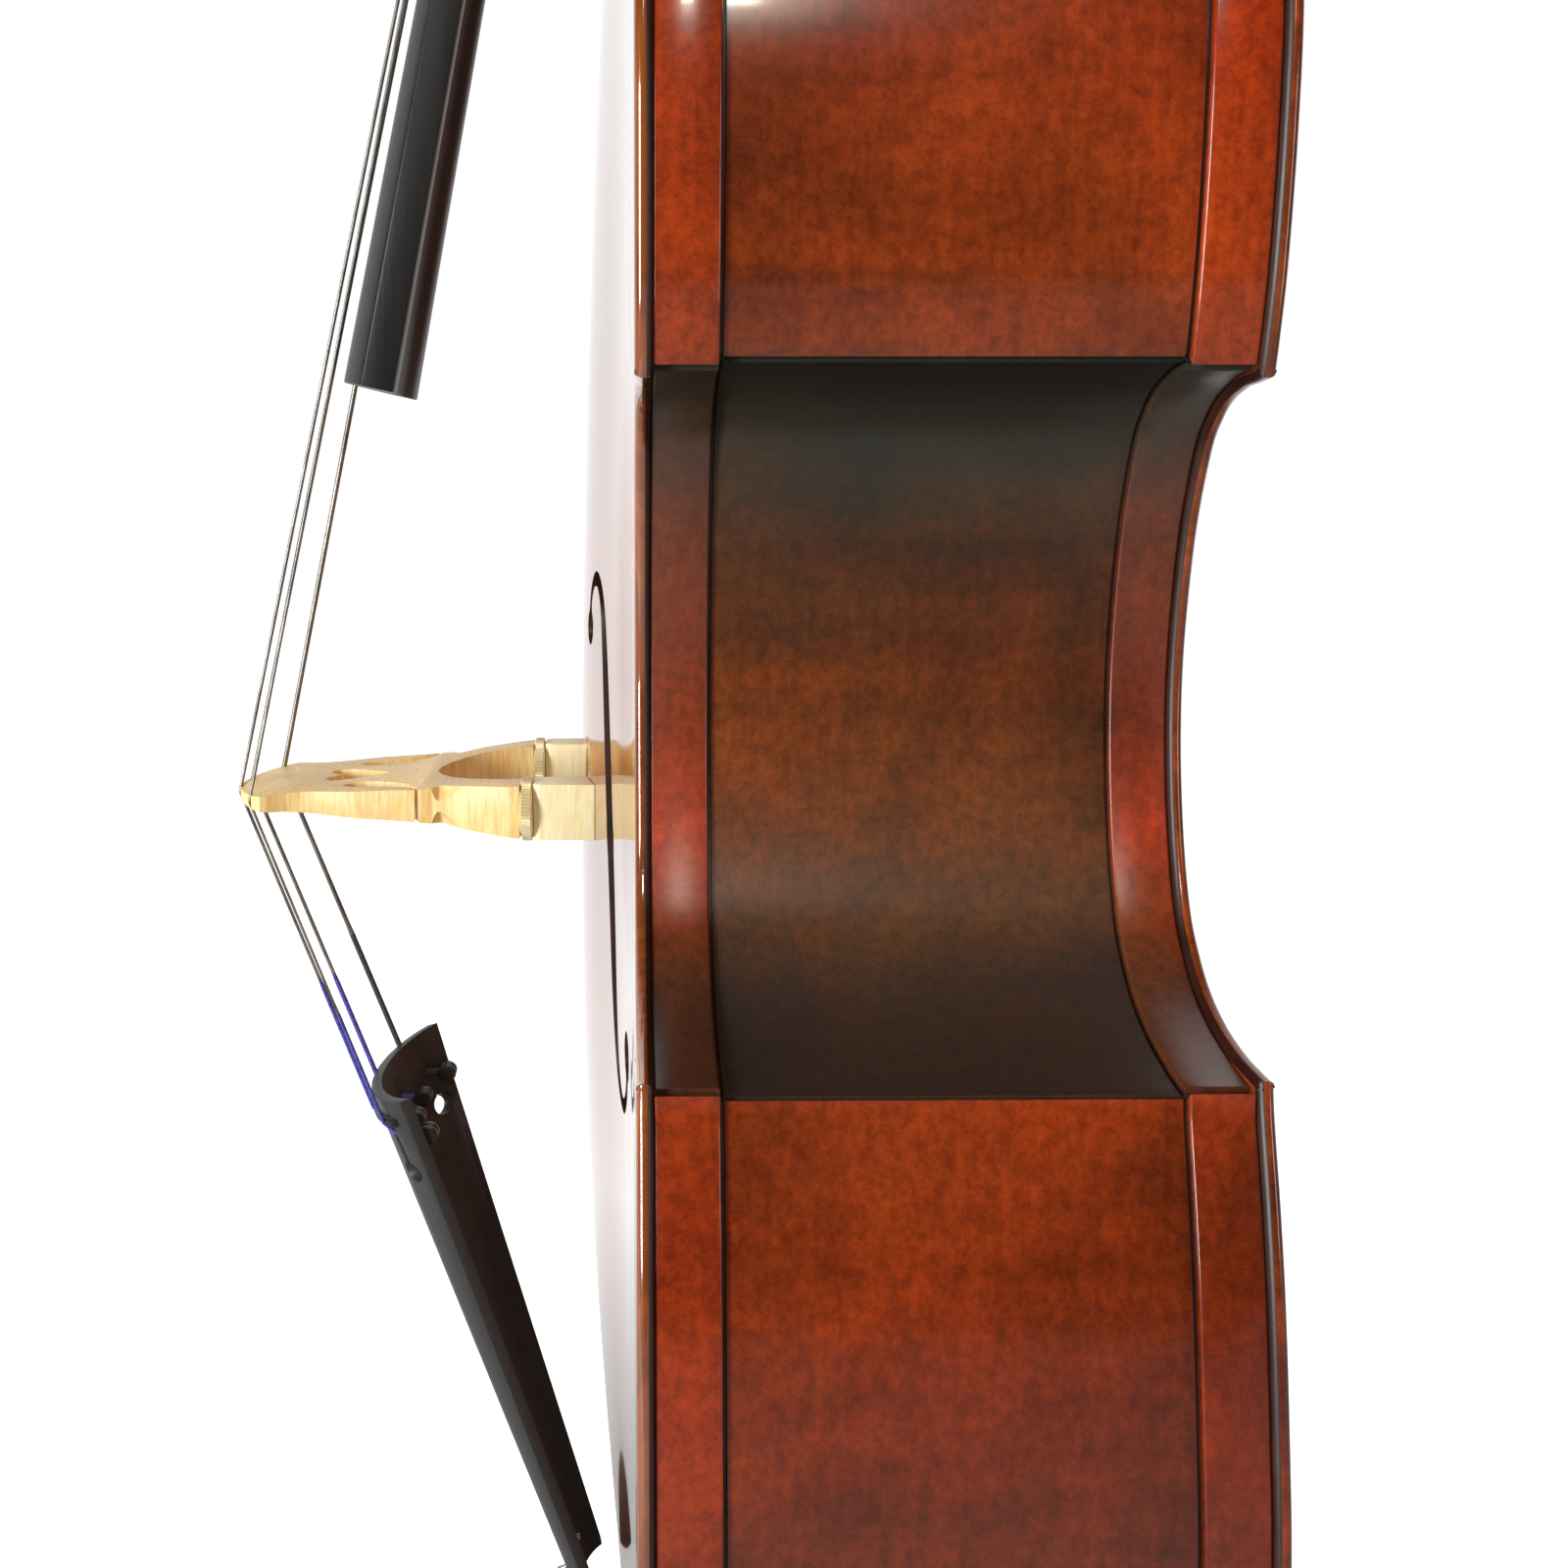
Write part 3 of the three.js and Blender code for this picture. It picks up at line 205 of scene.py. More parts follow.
# Name, place, aim, size, power, colour, and whether reflections show it.
LIGHTS = [
    ("key", (2.3, -2.5, 1.15), (0, 0, 0.9), (0.8, 1.3), 105, WHITE, True),
    ("side", (2.2, 3.0, 1.2), (0, 0, 0.8), (0.6, 1.4), 20, WHITE, True),
    ("front", (-0.4, -3.2, 1.1), (0, 0, 0.9), (2.0, 1.6), 56, (1, 0.985, 0.94), False),
    ("window", (3.1, 0.0, 2.64), (0.19, -0.1, 0.69), (0.34, 0.3), 26, (1, 0.9, 0.78), True),
]
FLOOR_REACH = 9  # metres from the middle to each edge


def add_camera():
    """A camera level with the waist on the treble side, looking a little down."""
    data = bpy.data.cameras.new("camera")
    camera = add_object("camera", data)
    yaw, pitch, roll = (math.radians(a) for a in CAMERA_TURN)
    forward = Vector((-math.cos(yaw) * math.cos(pitch), math.sin(yaw) * math.cos(pitch),
                      -math.sin(pitch)))
    right = Vector((math.sin(yaw), math.cos(yaw), 0))
    up = right.cross(forward)
    r2 = math.cos(roll) * right + math.sin(roll) * up
    u2 = math.cos(roll) * up - math.sin(roll) * right
    x, y, z = CAMERA_PLACE
    camera.matrix_world = Matrix((
        (r2.x, u2.x, -forward.x, x), (r2.y, u2.y, -forward.y, y),
        (r2.z, u2.z, -forward.z, z), (0, 0, 0, 1)))
    data.sensor_width = CAMERA_SENSOR
    data.lens = CAMERA_LENS
    data.shift_x, data.shift_y = CAMERA_SHIFT
    data.clip_start, data.clip_end = 0.05, 60
    bpy.context.scene.camera = camera


def add_light(name, place, aim, size, power, colour, mirrored):
    """A rectangular area light aimed at a point."""
    data = bpy.data.lights.new(name, "AREA")
    data.shape = "RECTANGLE"
    data.size, data.size_y = size
    data.energy = power
    data.color = colour
    light = add_object(name, data)
    light.location = place
    toward = Vector(aim) - Vector(place)
    light.rotation_euler = toward.to_track_quat("-Z", "Y").to_euler()
    light.visible_glossy = mirrored


def add_studio():
    """A pale studio: bright on the bass side of the instrument, dim on the camera's side."""
    world = bpy.data.worlds.new("studio")
    bpy.context.scene.world = world
    world.use_nodes = True
    tree = world.node_tree
    background = tree.nodes["Background"]
    place = tree.nodes.new("ShaderNodeTexCoord")
    split = tree.nodes.new("ShaderNodeSeparateXYZ")
    tree.links.new(place.outputs["Generated"], split.inputs[0])
    fall = tree.nodes.new("ShaderNodeMapRange")
    fall.interpolation_type = "SMOOTHSTEP"
    for name, value in (("From Min", -0.75), ("From Max", 0.0), ("To Min", 1.0), ("To Max", 0.04)):
        fall.inputs[name].default_value = value
    tree.links.new(split.outputs["X"], fall.inputs["Value"])
    path = tree.nodes.new("ShaderNodeLightPath")
    seen = tree.nodes.new("ShaderNodeMath")
    seen.operation = "MAXIMUM"
    tree.links.new(path.outputs["Is Camera Ray"], seen.inputs[0])
    tree.links.new(fall.outputs[0], seen.inputs[1])
    background.inputs["Color"].default_value = (1, 1, 1, 1)
    tree.links.new(seen.outputs[0], background.inputs["Strength"])
    bpy.context.scene.view_settings.view_transform = "Standard"
    for light in LIGHTS:
        add_light(*light)
    r = FLOOR_REACH
    floor = bpy.data.meshes.new("floor")
    floor.from_pydata([(-r, -r, 0), (r, -r, 0), (r, r, 0), (-r, r, 0)], [], [(0, 1, 2, 3)])
    floor_object = add_object("floor", floor)
    floor.materials.append(studio_floor())


# ---- materials ----
class Shader:
    """A small helper that builds a node material."""

    def __init__(self, name):
        self.material = bpy.data.materials.new(name)
        self.material.use_nodes = True
        self.tree = self.material.node_tree
        self.bsdf = self.tree.nodes["Principled BSDF"]

    def node(self, kind, **values):
        """A new node, each value set on it or on its socket."""
        node = self.tree.nodes.new(kind)
        for key, value in values.items():
            if hasattr(node, key):
                setattr(node, key, value)
            else:
                node.inputs[key.replace("_", " ").title()].default_value = value
        return node

    def link(self, source, target):
        self.tree.links.new(source, target)

    def set(self, **values):
        for key, value in values.items():
            self.bsdf.inputs[key.replace("_", " ")].default_value = value
        return self

    def coords(self, scale=(1, 1, 1)):
        """The object's own coordinates in metres, stretched by a scale."""
        tex = self.node("ShaderNodeTexCoord")
        mapping = self.node("ShaderNodeMapping")
        mapping.inputs["Scale"].default_value = scale
        self.link(tex.outputs["Object"], mapping.inputs["Vector"])
        return mapping.outputs["Vector"]

    def noise(self, vector, scale, detail=4.0, roughness=0.55, distortion=0.0):
        node = self.node("ShaderNodeTexNoise", Scale=scale, Detail=detail, Roughness=roughness,
                         Distortion=distortion)
        self.link(vector, node.inputs["Vector"])
        return node.outputs["Fac"]

    def ramp(self, value, stops):
        """Colours by value, from (position, colour) stops."""
        node = self.node("ShaderNodeValToRGB")
        elements = node.color_ramp.elements
        while len(elements) < len(stops):
            elements.new(0.5)
        for element, (position, colour) in zip(elements, stops):
            element.position = position
            element.color = colour if len(colour) == 4 else (*colour, 1)
        self.link(value, node.inputs["Fac"])
        return node.outputs["Color"]

    def mix(self, factor, a, b, blend="MIX"):
        """A blend of two colours, each a socket or a plain value."""
        node = self.node("ShaderNodeMix", data_type="RGBA", blend_type=blend)
        for socket, value in ((node.inputs[0], factor), (node.inputs[6], a), (node.inputs[7], b)):
            if isinstance(value, bpy.types.NodeSocket):
                self.link(value, socket)
            elif isinstance(value, (int, float)):
                socket.default_value = value
            else:
                socket.default_value = (*value, 1)
        return node.outputs[2]

    def math(self, operation, *values):
        node = self.node("ShaderNodeMath", operation=operation)
        for socket, value in zip(node.inputs, values):
            if isinstance(value, bpy.types.NodeSocket):
                self.link(value, socket)
            else:
                socket.default_value = value
        return node.outputs[0]

    def bump(self, height, strength, distance):
        node = self.node("ShaderNodeBump")
        node.inputs["Strength"].default_value = strength
        node.inputs["Distance"].default_value = distance
        self.link(height, node.inputs["Height"])
        self.link(node.outputs["Normal"], self.bsdf.inputs["Normal"])

    def colour(self, socket):
        self.link(socket, self.bsdf.inputs["Base Color"])

    def roughness(self, value, low, high):
        """Roughness that runs from low to high with a value."""
        node = self.node("ShaderNodeMapRange")
        node.inputs["To Min"].default_value = low
        node.inputs["To Max"].default_value = high
        self.link(value, node.inputs["Value"])
        self.link(node.outputs[0], self.bsdf.inputs["Roughness"])


def studio_floor():
    """A pale, mottled matt floor that glows to the camera and, on the bass side, to gloss."""
    s = Shader("studio_floor")
    mottle = s.noise(s.coords(), 3.0)
    tone = s.ramp(mottle, [(0.3, (0.94, 0.94, 0.94)), (0.7, (0.97, 0.97, 0.97))])
    path = s.node("ShaderNodeLightPath")
    split = s.node("ShaderNodeSeparateXYZ")
    s.link(s.coords(), split.inputs[0])
    behind = s.node("ShaderNodeMapRange")
    for name, value in (("From Min", -0.2), ("From Max", -0.9), ("To Min", 0.0), ("To Max", 0.85)):
        behind.inputs[name].default_value = value
    s.link(split.outputs["X"], behind.inputs["Value"])
    seen = path.outputs["Is Camera Ray"]
    s.colour(s.mix(seen, (0.30, 0.30, 0.30), tone))
    s.set(Roughness=0.8, Specular_IOR_Level=0.1)
    s.bsdf.inputs["Emission Color"].default_value = (1, 1, 1, 1)
    far_side = s.math("MAXIMUM", behind.outputs[0], 0.25)
    glow = s.math("MULTIPLY", path.outputs["Is Glossy Ray"], far_side)
    strength = s.math("MAXIMUM", s.math("MULTIPLY", seen, 0.8), glow)
    s.link(strength, s.bsdf.inputs["Emission Strength"])
    return s.material


MAPLE_FLAME = (5, 5, 55)
MAPLE_GRAIN = (260, 260, 24)
GLOSSY, DULL = (0.14, 0.28), (0.26, 0.40)


def varnished_maple(name, tones, flame=0.16, painted_light=None, gloss=0.35, specular=0.35):
    """Flamed maple under a varnish with uneven wear.

    The painted light holds two heights in metres, then the stops of painted light and shade
    that multiply the colour between them and the stops of painted reflections added on top.
    """
    s = Shader(name)
    deep, mid, bright = tones
    flames = s.noise(s.coords(MAPLE_FLAME), 1.0, 3.0, 0.5, 0.6)
    cloud = s.noise(s.coords(), 4.2, 7.0, 0.66, 0.3)
    speck = s.noise(s.coords(), 210.0, 4.0, 0.8)
    fine = s.noise(s.coords(MAPLE_GRAIN), 1.0, 2.0, 0.5)
    tone = s.ramp(cloud, [(0.38, deep), (0.5, mid), (0.61, bright)])
    stripes = s.ramp(flames, [(0.38, [c * 0.5 for c in deep]), (0.62, bright)])
    banded = s.mix(flame, tone, stripes)
    grain = s.ramp(fine, [(0.3, (0.62, 0.60, 0.58)), (0.6, (1, 1, 1))])
    lined = s.mix(0.4, banded, grain, "MULTIPLY")
    specks = s.ramp(speck, [(0.38, (0.45, 0.45, 0.47)), (0.62, (1.0, 1.0, 1.0))])
    wear_and_painted_light = s.mix(0.7, lined, specks, "MULTIPLY")
    patches = s.noise(s.coords(), 3.0, 3.0)
    tint = s.ramp(patches, [(0.36, (1.0, 0.80, 0.70)), (0.62, (0.74, 0.92, 1.0))])
    wear_and_painted_light = s.mix(0.9, wear_and_painted_light, tint, "MULTIPLY")
    # Painted light and shade by height, then painted grey reflections added on top.
    if painted_light:
        low, high, painted_light_stops, painted_reflection_stops = painted_light
        split = s.node("ShaderNodeSeparateXYZ")
        s.link(s.coords(), split.inputs[0])
        uneven = s.math("SUBTRACT", s.noise(s.coords(), 9.0, 4.0), 0.5)
        height = s.math("ADD", split.outputs["Z"], s.math("MULTIPLY", uneven, 0.05))
        share = s.math("MULTIPLY", s.math("SUBTRACT", height, low), 1 / (high - low))
        wear_and_painted_light = s.mix(1.0, wear_and_painted_light, s.ramp(share, painted_light_stops), "MULTIPLY")
        wear_and_painted_light = s.mix(1.0, wear_and_painted_light, s.ramp(share, painted_reflection_stops), "ADD")
    s.colour(wear_and_painted_light)
    s.roughness(cloud, *(GLOSSY if gloss else DULL))
    s.bump(fine, 0.04, 0.0003)
    s.set(Coat_Weight=gloss, Coat_Roughness=0.06, Specular_IOR_Level=specular)
    return s.material


def near_black_and_painted_shade():
    """Near-black for lining grooves and hole walls, and painted shade under rolled plate edges."""
    s = Shader("near_black_varnish_and_painted_shade")
    cloud = s.noise(s.coords(), 40.0, 4.0, 0.6)
    s.colour(s.ramp(cloud, [(0.3, (0.010, 0.004, 0.003)), (0.75, (0.05, 0.012, 0.005))]))
    s.roughness(cloud, 0.3, 0.5)
    s.bump(cloud, 0.1, 0.0003)
    return s.material


def spruce_top():
    """Fine-grained spruce of the belly under a thick, glossy varnish."""
    s = Shader("spruce_varnish")
    grain = s.noise(s.coords((420, 3, 6)), 1.0, 2.0, 0.4)
    blotch = s.noise(s.coords(), 7.0, 5.0, 0.6)
    tone = s.ramp(blotch, [(0.3, (0.18, 0.044, 0.010)), (0.55, (0.27, 0.070, 0.014)),
                           (0.75, (0.38, 0.11, 0.022))])
    lines = s.ramp(grain, [(0.42, (0.55, 0.40, 0.28)), (0.58, (1, 1, 1))])
    s.colour(s.mix(0.5, tone, lines, "MULTIPLY"))
    s.roughness(blotch, 0.08, 0.16)
    s.bump(grain, 0.04, 0.0003)
    s.set(Coat_Weight=1.0, Coat_Roughness=0.03, Coat_IOR=1.7, Specular_IOR_Level=0.5)
    return s.material


def bare_wood(name, dark, light, scale, rough=(0.45, 0.65)):
    """Unvarnished wood whose grain runs where the scale is smallest."""
    s = Shader(name)
    grain = s.noise(s.coords(scale), 4.0, 4.0, 0.6, 0.4)
    flecks = s.noise(s.coords((scale[0] * 6, scale[1] * 6, scale[2] * 5)), 1.0, 2.0)
    tone = s.ramp(grain, [(0.3, dark), (0.7, light)])
    rays = s.ramp(flecks, [(0.35, [c * 0.7 for c in dark]), (0.6, light)])
    s.colour(s.mix(0.25, tone, rays, "MULTIPLY"))
    s.roughness(grain, *rough)
    s.bump(flecks, 0.15, 0.0003)
    return s.material


def ebony(name="ebony", lift=0.0):
    """Near-black wood with fine pores, made paler by a lift."""
    s = Shader(name)
    pores = s.noise(s.coords((500, 500, 30)), 1.0, 2.0, 0.5)
    cloud = s.noise(s.coords((30, 30, 6)), 1.0, 4.0, 0.6)
    pale = (0.013 + lift, 0.014 + lift, 0.014 + lift)
    s.colour(s.ramp(cloud, [(0.3, [0.004 + lift] * 3), (0.7, pale)]))
    s.roughness(cloud, 0.34, 0.5)
    s.bump(pores, 0.25, 0.0003)
    s.set(Specular_IOR_Level=0.35)
    return s.material


def metal(name, low, high, rough, scale=180, metallic=1.0):
    """Metal with fine scratches and a cloudy patina."""
    s = Shader(name)
    scratch = s.noise(s.coords(), scale, 5.0, 0.65)
    patina = s.noise(s.coords(), 40.0, 5.0, 0.6)
    s.colour(s.ramp(patina, [(0.3, low), (0.65, high)]))
    s.roughness(scratch, *rough)
    s.bump(scratch, 0.08, 0.0002)
    s.set(Metallic=metallic)
    return s.material


def rubber():
    """Black rubber with pale dust."""
    s = Shader("rubber")
    dust = s.noise(s.coords(), 60.0, 5.0, 0.7)
    s.colour(s.ramp(dust, [(0.4, (0.012, 0.012, 0.013)), (0.75, (0.05, 0.048, 0.045))]))
    s.roughness(dust, 0.6, 0.85)
    s.bump(dust, 0.2, 0.0004)
    return s.material


def silk(name, low, high):
    """The matt thread wound round the ends of a string."""
    s = Shader(name)
    twist = s.noise(s.coords((900, 900, 900)), 1.0, 2.0)
    s.colour(s.ramp(twist, [(0.35, low), (0.65, high)]))
    s.roughness(twist, 0.5, 0.75)
    s.bump(twist, 0.4, 0.0003)
    s.set(Sheen_Weight=0.3)
    return s.material


# Painted shade: the waist darkens towards its corners, under painted grey reflections.
# Painted light: the bouts warm a little with height.
WAIST_PAINTED_SHADE = (
    0.61, 0.91,
    [(0.02, (0.05, 0.10, 0.18)), (0.12, (0.10, 0.20, 0.30)), (0.19, (0.30, 0.50, 0.60)),
     (0.32, (0.56, 0.78, 0.90)), (0.52, (0.55, 0.78, 0.9)), (0.66, (0.30, 0.46, 0.56)),
     (0.82, (0.10, 0.20, 0.30)), (0.93, (0.04, 0.10, 0.16))],
    [(0.02, (0.022, 0.024, 0.020)), (0.12, (0.020, 0.021, 0.020)), (0.19, (0.006, 0.020, 0.016)),
     (0.32, (0.0, 0.013, 0.009)), (0.52, (0.0, 0.003, 0.003)), (0.66, (0.004, 0.011, 0.009)),
     (0.82, (0.031, 0.037, 0.030)), (0.93, (0.018, 0.021, 0.018))],
)
# Painted light: waist linings dark and greyed at the ends, a painted bright red zone low down.
WAIST_LINING_PAINTED_LIGHT = (
    0.61, 0.91,
    [(0.02, (0.14, 0.34, 0.5)), (0.14, (0.26, 0.5, 0.65)), (0.22, (0.52, 0.58, 0.65)),
     (0.32, (1.0, 0.74, 0.6)), (0.45, (0.56, 0.60, 0.66)), (0.62, (0.42, 0.54, 0.62)),
     (0.82, (0.13, 0.28, 0.42)), (0.93, (0.06, 0.16, 0.3))],
    [(0.0, (0.014, 0.016, 0.014)), (0.2, (0.0, 0.0, 0.0)), (0.7, (0.0, 0.0, 0.0)),
     (0.86, (0.020, 0.030, 0.022))],
)
# Painted light: the bouts are darker towards the bottom, brighter and warmer towards the top.
BOUT_PAINTED_LIGHT = (
    0.18, 1.3,
    [(0.25, (0.58, 0.62, 0.66)), (0.45, (0.72, 0.76, 0.78)), (0.62, (0.92, 0.94, 0.94)),
     (0.8, (1.0, 0.86, 0.80))],
    [(0.0, (0.0, 0.0, 0.0)), (1.0, (0.0, 0.0, 0.0))],
)

# Deep, middle and bright tone of each varnish.
RIB_TONES = ((0.16, 0.028, 0.007), (0.37, 0.050, 0.008), (0.64, 0.080, 0.010))
LINING_TONES = ((0.32, 0.040, 0.008), (0.56, 0.062, 0.009), (0.80, 0.09, 0.011))
BACK_TONES = ((0.18, 0.032, 0.007), (0.34, 0.056, 0.011), (0.50, 0.09, 0.016))
NECK_TONES = ((0.16, 0.03, 0.008), (0.28, 0.055, 0.012), (0.42, 0.10, 0.02))

# The rib and lining varnishes below carry painted light and shade by height.
RIB = varnished_maple("maple_rib_varnish", RIB_TONES, painted_light=BOUT_PAINTED_LIGHT)
RIB_WAIST_PAINTED_SHADE = varnished_maple("maple_waist_varnish_painted_shade", RIB_TONES, painted_light=WAIST_PAINTED_SHADE,
                            gloss=0.0, specular=0.15)
LINING = varnished_maple("maple_lining_varnish", LINING_TONES, 0.08, BOUT_PAINTED_LIGHT)
LINING_WAIST_PAINTED_LIGHT = varnished_maple("waist_lining_varnish", LINING_TONES, 0.08, WAIST_LINING_PAINTED_LIGHT,
                               gloss=0.0, specular=0.6)
BACK = varnished_maple("maple_back_varnish", BACK_TONES, 0.4)
NECK = varnished_maple("maple_neck_varnish", NECK_TONES, 0.2)
# Near-black colour, and painted shade under the plates' rolled edges.
DARK_AND_PAINTED_SHADE = near_black_and_painted_shade()
TOP = spruce_top()
BRIDGE_GRAIN, BRIDGE_ROUGH = (60, 120, 14), (0.35, 0.5)
BRIDGE_WOOD = bare_wood("bridge_maple", (0.90, 0.56, 0.17), (0.97, 0.84, 0.46),
                        BRIDGE_GRAIN, BRIDGE_ROUGH)
SPRUCE_RAW = bare_wood("raw_spruce", (0.66, 0.50, 0.30), (0.82, 0.68, 0.46), (60, 8, 60))
EBONY = ebony()
# Painted sheen: the tailpiece's ebony is paler to paint the grey of its reflections.
EBONY_PAINTED_SHEEN = ebony("tailpiece_ebony_painted_sheen", 0.02)
FOOT_WOOD = bare_wood("bridge_foot_maple", (0.97, 0.82, 0.44), (1.0, 0.97, 0.70),
                      BRIDGE_GRAIN, BRIDGE_ROUGH)
BRASS = metal("tuner_brass", (0.40, 0.27, 0.09), (0.80, 0.62, 0.28), (0.18, 0.38))
WHEEL = metal("adjuster_metal", (0.80, 0.66, 0.34), (0.97, 0.90, 0.66), (0.32, 0.5),
              metallic=0.55)
STEEL = metal("plain_steel", (0.42, 0.43, 0.45), (0.68, 0.69, 0.71), (0.2, 0.35))
STRING = metal("string_winding", (0.13, 0.125, 0.11), (0.34, 0.33, 0.30), (0.3, 0.5), 900)
BLUE_SILK = silk("silk_blue", (0.02, 0.02, 0.20), (0.10, 0.10, 0.55))
DARK_SILK = silk("silk_dark", (0.01, 0.01, 0.012), (0.05, 0.05, 0.06))
BALL = metal("string_ball", (0.02, 0.02, 0.02), (0.07, 0.065, 0.055), (0.3, 0.5),
             metallic=0.6)
RUBBER = rubber()

# ---- body outline ----
UPPER = spline(UPPER_EDGE, 10) + (0, BRIDGE_Z)
MIDDLE = spline(MIDDLE_EDGE, 8) + (0, BRIDGE_Z)
LOWER = spline(LOWER_EDGE, 10) + (0, BRIDGE_Z)
CORNERS = np.array([UPPER[-1], LOWER[0]])


CORNER_REACH = 22  # how far along the edge a corner's overhang is felt
MIDLINE_CLEAR = 0.15


def inset(points, distance, corner_extra=0.0):
    """An edge moved inwards, and further inwards close to the corners."""
    ahead = np.vstack([points[1:], points[-1:]])
    behind = np.vstack([points[:1], points[:-1]])
    d = ahead - behind
    d /= np.linalg.norm(d, axis=1)[:, None]
    near = np.min(np.linalg.norm(points[:, None] - CORNERS[None], axis=2), axis=1)
    shift = distance + corner_extra * np.exp(-((near / CORNER_REACH) ** 2))
    moved = points + np.stack([d[:, 1], -d[:, 0]], axis=1) * shift[:, None]
    moved[:, 0] = np.maximum(moved[:, 0], MIDLINE_CLEAR)
    return moved


def rib_run(part, distance):
    """The line of one rib at a distance inside the plate's edge."""
    middle = inset(MIDDLE, distance, CORNER_OVERHANG)
    top, low = middle[0][1], middle[-1][1]
    if part == "upper":
        run = inset(UPPER, distance)[UPPER[:, 1] > CORNERS[0][1] + 9]
        return np.vstack([run, [[run[-1][0] - 1.0, top]]])
    if part == "lower":
        run = inset(LOWER, distance)[LOWER[:, 1] < CORNERS[1][1] - 12]
        return np.vstack([[[run[0][0] - 1.2, low]], run])
    inner = RIB_INSET + RIB_T + 0.3
    first, last = rib_run("upper", inner)[-1][0], rib_run("lower", inner)[0][0]
    limit = np.where(np.arange(len(MIDDLE)) < len(MIDDLE) / 2, first, last) - 3
    run = middle[MIDDLE[:, 0] < limit]
    return np.vstack([[[first, run[0][1]]], run, [[last, run[-1][1]]]])


def shade_faces(piece, material, wanted):
    """Gives a second material to the faces whose centre the test picks (in millimetres)."""
    piece.data.materials.append(material)
    for polygon in piece.data.polygons:
        if wanted(*(c / MM for c in polygon.center)):
            polygon.material_index = 1


def band(name, part, side, profile, node, material):
    """A bent strip whose cross-section is given as (depth inside the plate edge, y)."""
    runs = {}
    for depth, _ in profile:
        runs.setdefault(depth, rib_run(part, depth))
    count = len(next(iter(runs.values())))
    rings = [[(side * runs[depth][i][0], y, runs[depth][i][1]) for depth, y in profile]
             for i in range(count)]
    return make(name, *loft(rings), node=node, material=material, smooth=50)


SIDES = (("treble", 1), ("bass", -1))
GROOVE_DEPTH = 0.9


def rib_profile():
    """The section of a rib panel, with a dark groove beside each of its linings."""
    out, deep = RIB_INSET, RIB_INSET + GROOVE_DEPTH
    g0, g1 = RIB_Y - LINING_W - 0.2, RIB_Y - LINING_W - 1.5
    half = [(out, -RIB_Y), (out, -g0), (deep, -g0 + 0.4), (deep, -g1 - 0.4), (out, -g1)]
    back = [(d, -y) for d, y in reversed(half)]
    inside_face = [(RIB_INSET + RIB_T, RIB_Y), (RIB_INSET + RIB_T, -RIB_Y)]
    return half + back + inside_face, g0, g1


def lining_profile(face):
    """The section of a lining with eased outer edges, on the front (-1) or back (1)."""
    edge, root = RIB_INSET - LINING_T, RIB_INSET - 0.3
    y0, y1 = RIB_Y, RIB_Y - LINING_W
    shape = [(root, y0), (edge + 0.7, y0), (edge + 0.2, y0 - 0.3), (edge, y0 - 1.0),
             (edge, y1 + 1.0), (edge + 0.2, y1 + 0.3), (edge + 0.7, y1), (root, y1)]
    return [(d, face * y) for d, y in shape]


def ribs_and_linings():
    """Three rib panels on each side, each between a front and a back lining."""
    profile, g0, g1 = rib_profile()
    for label, side in SIDES:
        for part in ("upper", "middle", "lower"):
            place = f"{part}_{label}"
            rib, lining = (RIB_WAIST_PAINTED_SHADE, LINING_WAIST_PAINTED_LIGHT) if part == "middle" else (RIB, LINING)
            panel = band(f"rib_panel_{place}", part, side, profile, f"rib_{place}", rib)
            shade_faces(panel, DARK_AND_PAINTED_SHADE, lambda x, y, z: g1 < abs(y) < g0 + 1.0)
            for face, word in ((-1, "front"), (1, "back")):
                band(f"lining_band_{word}_{place}", part, side, lining_profile(face),
                     f"lining_{word}_{place}", lining)


# ---- plates ----
def full_outline():
    """The outline of the plates, once round from the top of the middle line."""
    half = np.vstack([UPPER[1:], MIDDLE[1:], LOWER[1:-1]])
    return np.vstack([UPPER[:1], half, LOWER[-1:], half[::-1] * (-1, 1)])


def loop_normals(loop):
    """Mitred normals at the points of a closed line."""
    ahead = np.roll(loop, -1, axis=0) - loop
    behind = loop - np.roll(loop, 1, axis=0)
    n1 = np.stack([-ahead[:, 1], ahead[:, 0]], 1) / np.linalg.norm(ahead, axis=1)[:, None]
    n0 = np.stack([-behind[:, 1], behind[:, 0]], 1) / np.linalg.norm(behind, axis=1)[:, None]
    n = n0 + n1
    n /= np.linalg.norm(n, axis=1)[:, None]
    return n / np.maximum(np.sum(n * n1, axis=1), 0.75)[:, None]


def inside(points, loop):
    """Whether each point lies inside a closed line."""
    x, y = points[:, 0], points[:, 1]
    x0, y0 = loop[:, 0][:, None], loop[:, 1][:, None]
    ahead = np.roll(loop, -1, axis=0)
    x1, y1 = ahead[:, 0][:, None], ahead[:, 1][:, None]
    crosses = (y0 > y) != (y1 > y)
    at = x0 + (y - y0) / np.where(y1 == y0, 1e-9, y1 - y0) * (x1 - x0)
    return (crosses & (x < at)).sum(axis=0) % 2 == 1


def edge_distance(points, loop):
    """How far each point is from a closed line."""
    best = np.full(len(points), 1e9)
    a, b = loop, np.roll(loop, -1, axis=0)
    for p, q in zip(a, b):
        d = q - p
        t = np.clip(((points - p) @ d) / max(d @ d, 1e-12), 0, 1)
        best = np.minimum(best, np.linalg.norm(points - p - t[:, None] * d, axis=1))
    return best


ARCH_Z = BRIDGE_Z - 60  # height of the fullest point of the arch
CHANNEL_DEPTH = 0.9


